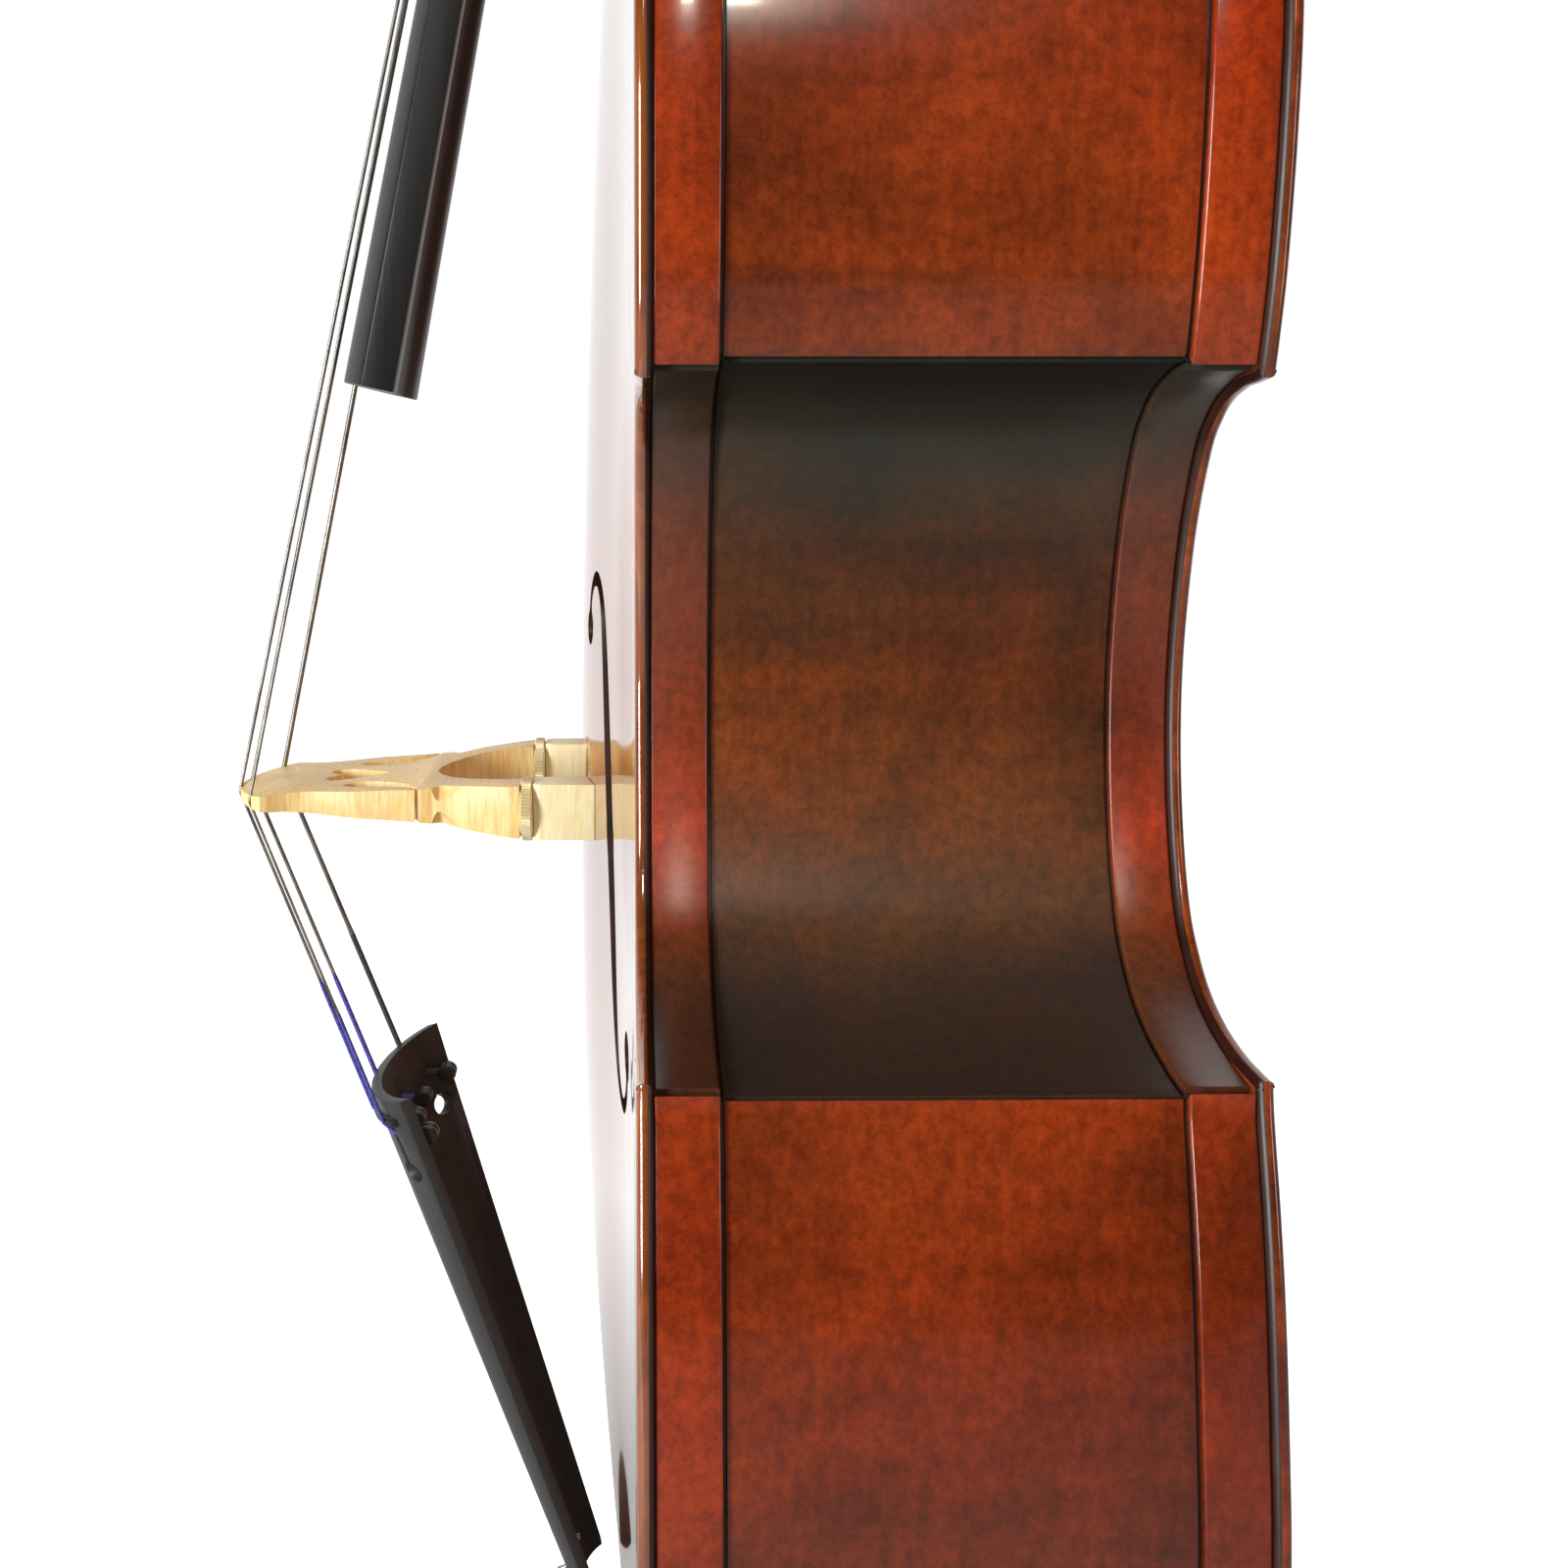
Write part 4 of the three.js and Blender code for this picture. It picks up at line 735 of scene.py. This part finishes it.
def arch_height(points, depth, height, spread):
    """How far the plate swells at each point, given the point's depth inside the edge."""
    x, z = points[:, 0], points[:, 1]
    along = z - ARCH_Z
    reach = np.where(along > 0, BODY_TOP - ARCH_Z, ARCH_Z - BODY_BOTTOM)
    lengthwise = np.maximum(0, 1 - np.abs(along / reach) ** 1.9)
    near = np.clip(depth / 55, 0, 1)
    rise = near * near * (3 - 2 * near)
    channel = -CHANNEL_DEPTH * np.exp(-(((depth - 13) / 8) ** 2))
    return height * lengthwise * np.exp(-((x / spread) ** 2)) * rise + channel


# Across, along and half width of the f-shaped slit, then its two round ends.
F_LINE = [
    (50, 92, 3.2), (54, 104, 2.8), (63, 111.5, 3.2), (74, 111, 4), (84, 101, 5.2), (91, 80, 6.6),
    (98, 45, 7.8), (105, 5, 8.2), (112, -35, 7.8), (118, -75, 6.6), (125, -100.5, 5),
    (135, -113, 3.8), (147, -114.5, 3.4), (158, -105.5, 3.4), (164, -92, 4),
]
EYES = ((51, 88, 8.5), (162, -86, 11))
NICK_DEPTH, NICK_HALF_WIDTH = 6, 3.6


def sound_hole(side):
    """The closed outline of one f-shaped sound hole."""
    line = spline(F_LINE, 5)
    middle, width = line[:, :2], line[:, 2]
    width = width + NICK_DEPTH * np.maximum(0, 1 - np.abs(line[:, 1]) / NICK_HALF_WIDTH)
    d = np.gradient(middle, axis=0)
    n = np.stack([-d[:, 1], d[:, 0]], 1) / np.linalg.norm(d, axis=1)[:, None]
    keep = np.ones(len(middle), bool)
    for x, z, r in EYES:
        keep &= np.linalg.norm(middle - (x, z), axis=1) > r + 0.5
    left = (middle + n * width[:, None])[keep]
    right = (middle - n * width[:, None])[keep]

    def eye(x, z, r, start, end):
        a0 = math.atan2(start[1] - z, start[0] - x)
        a1 = math.atan2(end[1] - z, end[0] - x)
        sweep = (a1 - a0) % (2 * math.pi)
        if sweep < math.pi:
            sweep -= 2 * math.pi
        angles = a0 + sweep * np.linspace(0.04, 0.96, 22)
        return np.stack([x + r * np.cos(angles), z + r * np.sin(angles)], 1)

    loop = np.vstack([left, eye(*EYES[1], left[-1], right[-1]),
                      right[::-1], eye(*EYES[0], right[0], left[0])])
    return loop * (side, 1) + (0, BRIDGE_Z)


def saddle_notch(loop, half_width=32.0, depth=12.0):
    """Lets the saddle into the lower edge of the belly."""
    notch = np.array([[half_width, BODY_BOTTOM + 0.6], [half_width, BODY_BOTTOM + depth],
                      [-half_width, BODY_BOTTOM + depth], [-half_width, BODY_BOTTOM + 0.6]])
    low = (loop[:, 1] < BODY_BOTTOM + 3) & (np.abs(loop[:, 0]) <= half_width)
    first = int(np.argmax(low))
    kept = loop[~low]
    return np.vstack([kept[:first], notch, kept[first:]])


BUTTON_RADIUS, BUTTON_RISE, BUTTON_Z = 27, 26.5, BODY_TOP + 9


def button_outline(loop):
    """Adds the rounded button above the upper edge of the back."""
    angles = np.linspace(0.0, math.pi, 19)
    top = np.stack([BUTTON_RADIUS * np.cos(angles), BUTTON_Z + BUTTON_RISE * np.sin(angles)], 1)
    keep = ~((loop[:, 1] > BODY_TOP - 1) & (np.abs(loop[:, 0]) < BUTTON_RADIUS + 1))
    body = loop[keep]
    first = int(np.where((body[:, 0] > 0))[0][0])
    return np.vstack([np.roll(body, -first, axis=0), top[::-1]])


GRID_STEP, GRID_HALF_WIDTH, GRID_CLEAR = 9.0, 340, 18.0
EDGE_ROWS = (5.0, 7.0, 10.0, 14.0)
HOLE_CLEAR, HOLE_ROW = 3.5, 3.0
ROLL_ANGLES = [math.radians(a) for a in (20, 45, 70, 90, 110, 135, 160)]


def plate_points(outline, normals, rim, holes):
    """Points within a plate: a grid, and closer rows along its edge and round its holes."""
    grid = np.array([(x, z) for x in np.arange(-GRID_HALF_WIDTH, GRID_HALF_WIDTH + 1, GRID_STEP)
                     for z in np.arange(BODY_BOTTOM, BODY_TOP + 40, GRID_STEP)])
    points = np.vstack([grid, *[outline + normals * d for d in EDGE_ROWS]])
    clear = np.concatenate([np.full(len(grid), GRID_CLEAR),
                            *[np.full(len(outline), d - 0.4) for d in EDGE_ROWS]])
    points = points[(edge_distance(points, outline) > clear) & inside(points, rim)]
    for hole in holes:
        points = points[(edge_distance(points, hole) > HOLE_CLEAR) & ~inside(points, hole)]
        away = loop_normals(hole)
        turn = 1 if np.sum(away * (hole - hole.mean(axis=0))) < 0 else -1
        points = np.vstack([points, hole - away * HOLE_ROW * turn])
    return points


def plate_faces(loops, points):
    """Points and triangles that fill the first loop and leave the other loops open."""
    edges, start = [], 0
    for loop in loops:
        edges += [(start + i, start + (i + 1) % len(loop)) for i in range(len(loop))]
        start += len(loop)
    flat = [Vector(p) for p in np.vstack([*loops, points])]
    co, _, faces, _, _, _ = geometry.delaunay_2d_cdt(flat, edges, [], 0, 1e-5)
    co = np.array([tuple(c) for c in co])
    faces = np.array([f for f in faces if len(f) == 3])
    centre = co[faces].mean(axis=1)
    good = inside(centre, loops[0])
    for hole in loops[1:]:
        good &= ~inside(centre, hole)
    return co, faces[good]


def plate(name, node, side, height, spread, outline, holes, material):
    """An arched plate of constant thickness whose outer edge is rolled to a half round."""
    radius = PLATE_T / 2
    normals = loop_normals(outline)
    if np.sum(normals * (outline - outline.mean(axis=0))) > 0:
        normals = -normals
    rim = outline + normals * radius
    co, faces = plate_faces([rim, *holes], plate_points(outline, normals, rim, holes))
    lift = arch_height(co, edge_distance(co, outline), height, spread)
    outer = [(x, side * (HALF_DEPTH + h), z) for (x, z), h in zip(co, lift)]
    inner = [(x, side * (HALF_DEPTH + h - PLATE_T), z) for (x, z), h in zip(co, lift)]
    verts = outer + inner
    count = len(co)
    out_faces = [tuple(f) for f in faces]
    out_faces += [tuple(int(i) + count for i in f[::-1]) for f in faces]
    ways = dict.fromkeys((int(a), int(b)) for f in faces for a, b in zip(f, (f[1], f[2], f[0])))
    border = [(a, b) for a, b in ways if (b, a) not in ways]
    on_rim = edge_distance(co, rim) < 1e-2
    roll_start = {}
    for i in {i for e in border for i in e}:
        if on_rim[i]:
            outward = -normals[int(np.argmin(np.linalg.norm(rim - co[i], axis=1)))]
            roll_start[i] = len(verts)
            for a in ROLL_ANGLES:
                x, z = co[i] + outward * radius * math.sin(a)
                verts.append((x, side * (HALF_DEPTH + lift[i] - radius * (1 - math.cos(a))), z))
    steps = len(ROLL_ANGLES)
    for a, b in border:
        if a in roll_start and b in roll_start:
            chain_a, chain_b = ([i, *range(roll_start[i], roll_start[i] + steps), i + count]
                                for i in (a, b))
            out_faces += [(chain_a[k], chain_a[k + 1], chain_b[k + 1], chain_b[k])
                          for k in range(steps + 1)]
        else:
            out_faces.append((a, a + count, b + count, b))
    piece = make(name, verts, out_faces, node=node, material=material, smooth=50)
    # Painted shade: the underside of the rolled edge gets the near-black; so do the hole walls.
    piece.data.materials.append(DARK_AND_PAINTED_SHADE)
    walls = {tuple(sorted(f)) for f in out_faces if len(f) == 4 and f[1] == f[0] + count}
    first = 2 * count
    for polygon in piece.data.polygons:
        corners = polygon.vertices
        rolled = any(v >= first for v in corners)
        under = all(v < first or (v - first) % steps > steps // 2 for v in corners)
        outside = any(v < count for v in corners)
        if tuple(sorted(corners)) in walls or (rolled and under and not outside):
            polygon.material_index = 1
    return piece


# ---- fingerboard, tailpiece and strings ----
NUT_Z = BRIDGE_Z + 1022
BOARD_TILT = math.radians(12.64)
BOARD_END = np.array([0, -254.85, BRIDGE_Z + 205.5])
BOARD_A = np.array([0, math.sin(BOARD_TILT), math.cos(BOARD_TILT)])
BOARD_N = np.array([0, -math.cos(BOARD_TILT), math.sin(BOARD_TILT)])
BOARD_LENGTH = 832
TAIL_LENGTH = 318
TAIL_TILT = math.atan(0.35)
TAIL_A = np.array([0, math.sin(TAIL_TILT), -math.cos(TAIL_TILT)])
TAIL_N = np.array([0, -math.cos(TAIL_TILT), -math.sin(TAIL_TILT)])
TAIL_ORIGIN = np.array([0, -HALF_DEPTH - 139.8, BRIDGE_Z - 158.5])
TAIL_T = 5.5
SLOT_START, SLOT_LENGTH, FRET_ALONG = 20, 22, 12
PEG_TILT = math.radians(20.6)
PEG_T = np.array([0, math.sin(PEG_TILT), math.cos(PEG_TILT)])
PEG_M = np.array([0, math.cos(PEG_TILT), -math.sin(PEG_TILT)])
PEG_ORIGIN = np.array([0, -61.5, NUT_Z - 6])
POST_A = {"g": 44, "e": 80, "d": 116, "a": 152}
POST_B, POST_R = 22, 6
BRIDGE_X = {"g": 39, "d": 13, "a": -13, "e": -39}
NUT_X = {"g": 15.6, "d": 5.2, "a": -5.2, "e": -15.6}
TAIL_X = {"g": 42, "d": 14, "a": -14, "e": -42}
STRING_R = {"g": 0.75, "d": 0.9, "a": 1.1, "e": 1.35}
X_AXIS = np.array([1.0, 0, 0])


def on_board(along, across, below):
    """A point along, across and below the face of the fingerboard."""
    return BOARD_END + BOARD_A * along - BOARD_N * below + X_AXIS * across


def on_tail(along, across, below):
    """A point along, across and below the top line of the tailpiece."""
    return TAIL_ORIGIN + TAIL_A * along - TAIL_N * below + X_AXIS * across


def in_pegbox(along, behind, across):
    """A point along, behind and across the front of the pegbox."""
    return PEG_ORIGIN + PEG_T * along + PEG_M * behind + X_AXIS * across


def tail_width(along):
    """Half the width of the tailpiece."""
    return lerp(56, 25, (max(along, 0) / TAIL_LENGTH) ** 0.9)


def tail_sag(along, u):
    """How far the tailpiece falls away at a share u of its half width."""
    return lerp(23.5, 11, along / TAIL_LENGTH) * (1 - math.sqrt(1 - 0.84 * u * u)) / 0.6


def ease_edges(piece, width, angle):
    """Small rounds on the sharp edges of a finished mesh."""
    bm = bmesh.new()
    bm.from_mesh(piece.data)
    ease(bm, 0.6, width, 2, angle)
    bm.to_mesh(piece.data)
    bm.free()
    soften(piece.data, angle + 5)


def carve(piece, parts):
    """Cuts a list of closed (points, faces) shapes out of a piece."""
    cutters = []
    for verts, faces in parts:
        mesh = bpy.data.meshes.new("cutter")
        mesh.from_pydata([tuple(c * MM for c in v) for v in verts], [], faces)
        face_outwards(mesh)
        cutter = add_object("cutter", mesh)
        cutters.append(cutter)
        modifier = piece.modifiers.new("cut", "BOOLEAN")
        modifier.operation, modifier.solver, modifier.object = "DIFFERENCE", "EXACT", cutter
    bpy.context.view_layer.update()
    graph = bpy.context.evaluated_depsgraph_get()
    result = bpy.data.meshes.new_from_object(piece.evaluated_get(graph))
    piece.modifiers.clear()
    piece.data = result
    for cutter in cutters:
        bpy.data.objects.remove(cutter)


def tube(points, radius, sides=12):
    """Points and faces of a tube along a path, with one radius or one for each point."""
    points = [np.array(p, float) for p in points]
    radii = radius if hasattr(radius, "__len__") else [radius] * len(points)
    rings, side = [], None
    for i, p in enumerate(points):
        ahead = points[min(i + 1, len(points) - 1)] - points[max(i - 1, 0)]
        ahead /= np.linalg.norm(ahead)
        reference = X_AXIS if side is None else side
        side = reference - ahead * (reference @ ahead)
        if np.linalg.norm(side) < 1e-3:
            side = np.array([0, 1.0, 0]) - ahead * ahead[1]
        side /= np.linalg.norm(side)
        other = np.cross(ahead, side)
        rings.append([p + radii[i] * (side * math.cos(a) + other * math.sin(a))
                      for a in (2 * math.pi * k / sides for k in range(sides))])
    return loft(rings)


KNURL_DEPTH = 0.55


def turned(origin, axis, profile, sides, knurl=None):
    """A solid turned from (position along, radius) pairs, knurled outside a radius."""
    axis = np.array(axis, float)
    side = np.cross(axis, X_AXIS if abs(axis[0]) < 0.9 else np.array([0, 1.0, 0]))
    side /= np.linalg.norm(side)
    other = np.cross(axis, side)
    rings = []
    for along, radius in profile:
        ring = []
        for k in range(sides):
            r = radius - (KNURL_DEPTH if knurl and radius > knurl and k % 2 else 0)
            a = 2 * math.pi * k / sides
            round_axis = r * (side * math.cos(a) + other * math.sin(a))
            ring.append(np.array(origin) + axis * along + round_axis)
        rings.append(ring)
    return loft(rings)


HOLLOW_END, HOLLOW_DEPTH = 415, 6.0


def fingerboard():
    """The fingerboard, crowned across and hollowed underneath where it hangs free."""
    columns = np.linspace(-1, 1, 29)

    def ring(along):
        t = along / BOARD_LENGTH
        w, h = lerp(43, 21.5, t), lerp(30.3, 12, t)
        radius = lerp(70, 45, t)
        hollow = HOLLOW_DEPTH if along < HOLLOW_END else 0.0
        crown = [on_board(along, u * w, radius - math.sqrt(radius**2 - (u * w) ** 2))
                 for u in columns]
        under = [on_board(along, u * w, h - hollow * max(0.0, 1 - (abs(u) / 0.62) ** 2.4) ** 0.6)
                 for u in np.linspace(1, -1, 21)]
        return crown + under

    stops = [0, 60, 120, 200, 300, HOLLOW_END - 1, HOLLOW_END + 1, 500, 600, 700, 780,
             BOARD_LENGTH]
    verts, faces = loft([ring(a) for a in stops])
    piece = make("fingerboard_fine", verts, faces, node="fingerboard", material=EBONY, smooth=30)
    ease_edges(piece, 0.7, 30)


def keyhole_cutters(name):
    """A round hole with a narrow slot above it, for one string."""
    x = TAIL_X[name]
    slot_end = SLOT_START + SLOT_LENGTH
    hole = turned(on_tail(slot_end, x, 0), TAIL_N, [(-60, 6.0), (30, 6.0)], 28)
    corners = [(SLOT_START - 2, -1.8), (SLOT_START - 2, 1.8), (slot_end, 1.8), (slot_end, -1.8)]
    slot = loft([[on_tail(a, x + dx, depth) for a, dx in corners] for depth in (-30, 60)])
    return [hole, slot]


def tailpiece():
    """The tailpiece, with a keyhole for each string and two holes for its wire."""
    columns = np.linspace(-1, 1, 33)

    def ring(along):
        w = tail_width(along) * (0.9 if along > TAIL_LENGTH - 2 else 1)
        outer = [on_tail(along, u * w, tail_sag(along, u)) for u in columns]
        inner = [on_tail(along, u * (w - 1.5), tail_sag(along, u) + TAIL_T) for u in columns[::-1]]
        return outer + inner

    stops = [0, 20, 40, 60, 90, 130, 180, 230, 280, TAIL_LENGTH - 8, TAIL_LENGTH - 3, TAIL_LENGTH]
    verts, faces = loft([ring(a) for a in stops])
    piece = make("tailpiece_fine", verts, faces, node="tailpiece", material=EBONY_PAINTED_SHEEN, smooth=35)
    wires = [turned(on_tail(TAIL_LENGTH - 16, x, 0), TAIL_N, [(-40, 2.8), (30, 2.8)], 20)
             for x in (-11, 11)]
    carve(piece, [part for name in "gdae" for part in keyhole_cutters(name)] + wires)
    ease_edges(piece, 0.6, 42)


FRET_SECTION = ((-2.4, 0), (-2.0, -1.6), (-1.0, -2.5), (1.0, -2.5), (2.0, -1.6), (2.4, 0))


def tail_fret():
    """The rounded bar across the top of the tailpiece."""
    rings = []
    for u in np.linspace(-0.9, 0.9, 31):
        x = u * tail_width(FRET_ALONG)
        lift = tail_sag(FRET_ALONG, u) - 0.6
        rings.append([on_tail(FRET_ALONG + a, x, lift + d) for a, d in FRET_SECTION])
    make("tailpiece_fret_fine", *loft(rings), node="tailpiece_fret", material=EBONY, smooth=50)


BRIDGE_CURVE = 69
BRIDGE_CURVE_CENTRE = 202.6 - BRIDGE_CURVE


def bridge_top(x):
    """How far the top of the bridge stands off the edge of the belly."""
    return BRIDGE_CURVE_CENTRE + math.sqrt(BRIDGE_CURVE**2 - x**2)


def span(a, b, count):
    return [a + (b - a) * t for t in np.linspace(0, 1, count)]


def rounded(points, radius, steps=4):
    """A path whose inner corners are turned on a small arc."""
    out = [points[0]]
    for a, b, c in zip(points, points[1:], points[2:]):
        into, away = (a - b) / np.linalg.norm(a - b), (c - b) / np.linalg.norm(c - b)
        reach = min(radius, 0.4 * np.linalg.norm(a - b), 0.4 * np.linalg.norm(c - b))
        p, q = b + into * reach, b + away * reach
        out += [(1 - t) ** 2 * p + 2 * t * (1 - t) * b + t * t * q
                for t in np.linspace(0, 1, steps)]
    return out + [points[-1]]


POST_SPREAD = 0.55  # share of the spread at the nut that the strings keep on the rollers
LAP_ANGLES = range(112, -1, -14)
SILK_TOP = NUT_Z - 2
SILK_BOTTOM = {"g": 577, "d": 584, "a": 577, "e": 594}
COIL_TURNS, COIL_SIDES = 3.4, 18
BALL_PROFILE = [(-4, 2.8), (-3.9, 4.3), (-3.3, 5), (-1.6, 5), (-1.2, 4.2),
                (1.2, 4.2), (1.6, 5), (3.3, 5), (3.9, 4.3), (4, 2.8)]


def string_coil(name):
    """The turns of a string that go round with its roller."""
    r, across = STRING_R[name], NUT_X[name] * POST_SPREAD
    pitch, reach = 2 * r + 0.35, POST_R + r + 0.1
    direction = 1 if across > 0 else -1
    coil = []
    for k in range(int(COIL_TURNS * COIL_SIDES) + 1):
        angle = 2 * math.pi * k / COIL_SIDES
        at = across - direction * pitch * angle / (2 * math.pi)
        middle = in_pegbox(POST_A[name], POST_B, at)
        coil.append(middle + reach * (PEG_T * math.sin(angle) - PEG_M * math.cos(angle)))
    return tube(coil, r, 8)


def string(name):
    """One string: roller to bridge, bridge to tailpiece, its ball, and its turns."""
    r, x, tx = STRING_R[name], BRIDGE_X[name], TAIL_X[name]
    node = f"string_{name}"
    silk_thread = DARK_SILK if name == "e" else BLUE_SILK

    def sag(along):
        return tail_sag(along, tx / tail_width(along))

    axis = in_pegbox(POST_A[name], POST_B, NUT_X[name] * POST_SPREAD)
    lap = [axis + (POST_R + 3 * r + 0.6) * (PEG_T * math.sin(a) - PEG_M * math.cos(a))
           for a in np.radians(LAP_ANGLES)]
    nut = on_board(BOARD_LENGTH + 4, NUT_X[name], -0.9 - 0.4 * r)
    crest = np.array([x, -HALF_DEPTH - bridge_top(x) - 0.4 * r, BRIDGE_Z])
    fret = on_tail(FRET_ALONG, tx, sag(FRET_ALONG) - 3 - 0.4 * r)
    mouth = on_tail(SLOT_START - 0.6, tx, sag(SLOT_START) + 0.5)
    ball_at = SLOT_START + 5
    ball = on_tail(ball_at, tx, sag(ball_at) + TAIL_T + 10.5)

    toward = (nut - crest) / np.linalg.norm(nut - crest)
    speaking = lap[:-1] + rounded([lap[-1], nut, nut - toward * 4, nut - toward * 8], 2.0)[:-2]
    speaking += span(nut - toward * 8, crest, 60)
    radii = [r + 0.25 if p[2] > SILK_TOP else r for p in speaking]
    upper = make(f"{node}_speaking", *tube(speaking, radii), body=None, node=node,
                 material=STRING, smooth=70)
    shade_faces(upper, silk_thread, lambda px, py, pz: pz > SILK_TOP)
    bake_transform(upper)

    low = span(crest, fret, 30) + rounded([fret, mouth, ball], 1.2)[1:]
    silk_end = SILK_BOTTOM[name]
    radii = [r + 0.28 if p[2] < silk_end else r for p in low]
    after = make(f"{node}_afterlength", *tube(low, radii), body=None, node=node,
                 material=STRING, smooth=70)
    shade_faces(after, silk_thread, lambda px, py, pz: pz < silk_end)
    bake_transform(after)

    make(f"{node}_ball", *turned(ball, X_AXIS, BALL_PROFILE, 28), node=node, material=BALL,
         smooth=45)
    make(f"{node}_winding", *string_coil(name), body=f"tuner_{name}_roller",
         material=silk_thread, smooth=70, slot=NODE_SLOT[node])


WHEEL_PROFILE = [
    (-16, 3.2), (-15.2, 4), (-3, 4), (-3, 13.6), (-2.3, 14.6), (-2.2, 15.6), (2.2, 15.6),
    (2.3, 14.6), (3, 13.6), (3, 4), (13.2, 4), (14, 3.2),
]


def adjuster_wheel(label, side):
    """A knurled wheel with its stem, between a leg of the bridge and its foot."""
    middle = np.array([side * 56, -HALF_DEPTH - 51.7, BRIDGE_Z])
    make(f"adjuster_wheel_{label}_fine", *turned(middle, (0, -1, 0), WHEEL_PROFILE, 120, 15),
         body=f"wheel_{label}", node=f"adjuster_wheel_{label}", material=WHEEL, smooth=35)


CHAMFER_PROFILE = [
    (-1, 0.3), (0, 3.6), (4, 5.0), (8, 6.6), (11, 7.8), (13, 8.4), (14.3, 8.2), (15.5, 7.0),
    (16.3, 5.2), (16.8, 3.0), (17, 0.3),
]


def bridge_with_chamfers():
    """The bridge, with a short hollow chamfer on each corner between its legs and its waist."""
    hollows = []
    for side in (1, -1):
        for face in (1, -1):
            start = np.array([side * 58, -HALF_DEPTH - 84, BRIDGE_Z + face * 11.6])
            axis = (-side * 0.256, -0.960, -face * 0.109)
            hollows.append(turned(start, axis, CHAMFER_PROFILE, 40))
    carve(refined("bridge", BRIDGE_WOOD, 0.5, 2, 40), hollows)


# ---- the whole instrument ----
add_camera()
add_studio()
ribs_and_linings()
OUTLINE = full_outline()
plate("belly_plate", "belly", -1, 27, 112, saddle_notch(OUTLINE),
      [sound_hole(1), sound_hole(-1)], TOP)
plate("back_plate", "back", 1, 22, 150, button_outline(OUTLINE), [], BACK)

INNER_PARTS = ("neck_block", "end_block", "bass_bar", "sound_post")
for node in frame["nodes"]:
    if node.startswith("corner_block") or node in INNER_PARTS:
        refined(node, SPRUCE_RAW, 0.8)
refined("neck", NECK, 0.8, 2, 40, 30)
fingerboard()
refined("nut", EBONY, 0.3)
refined("saddle", EBONY, 0.5)
bridge_with_chamfers()
for label, side in SIDES:
    refined(f"bridge_foot_{label}", FOOT_WOOD, 0.5)
    adjuster_wheel(label, side)
    refined(f"tuner_plate_{label}", BRASS, 0.4)
tailpiece()
tail_fret()
refined("tail_wire", STEEL, 0, smooth=60)
for name in "gdae":
    string(name)
    refined(f"tuner_roller_{name}", BRASS, 0.25)
    refined(f"tuner_worm_{name}", BRASS, 0.2)
refined("endpin_collar", EBONY, 0.4)
refined("endpin_screw", STEEL, 0.4)
refined("endpin_rod", STEEL, 0.4)
refined("endpin_tip", RUBBER, 0.8)
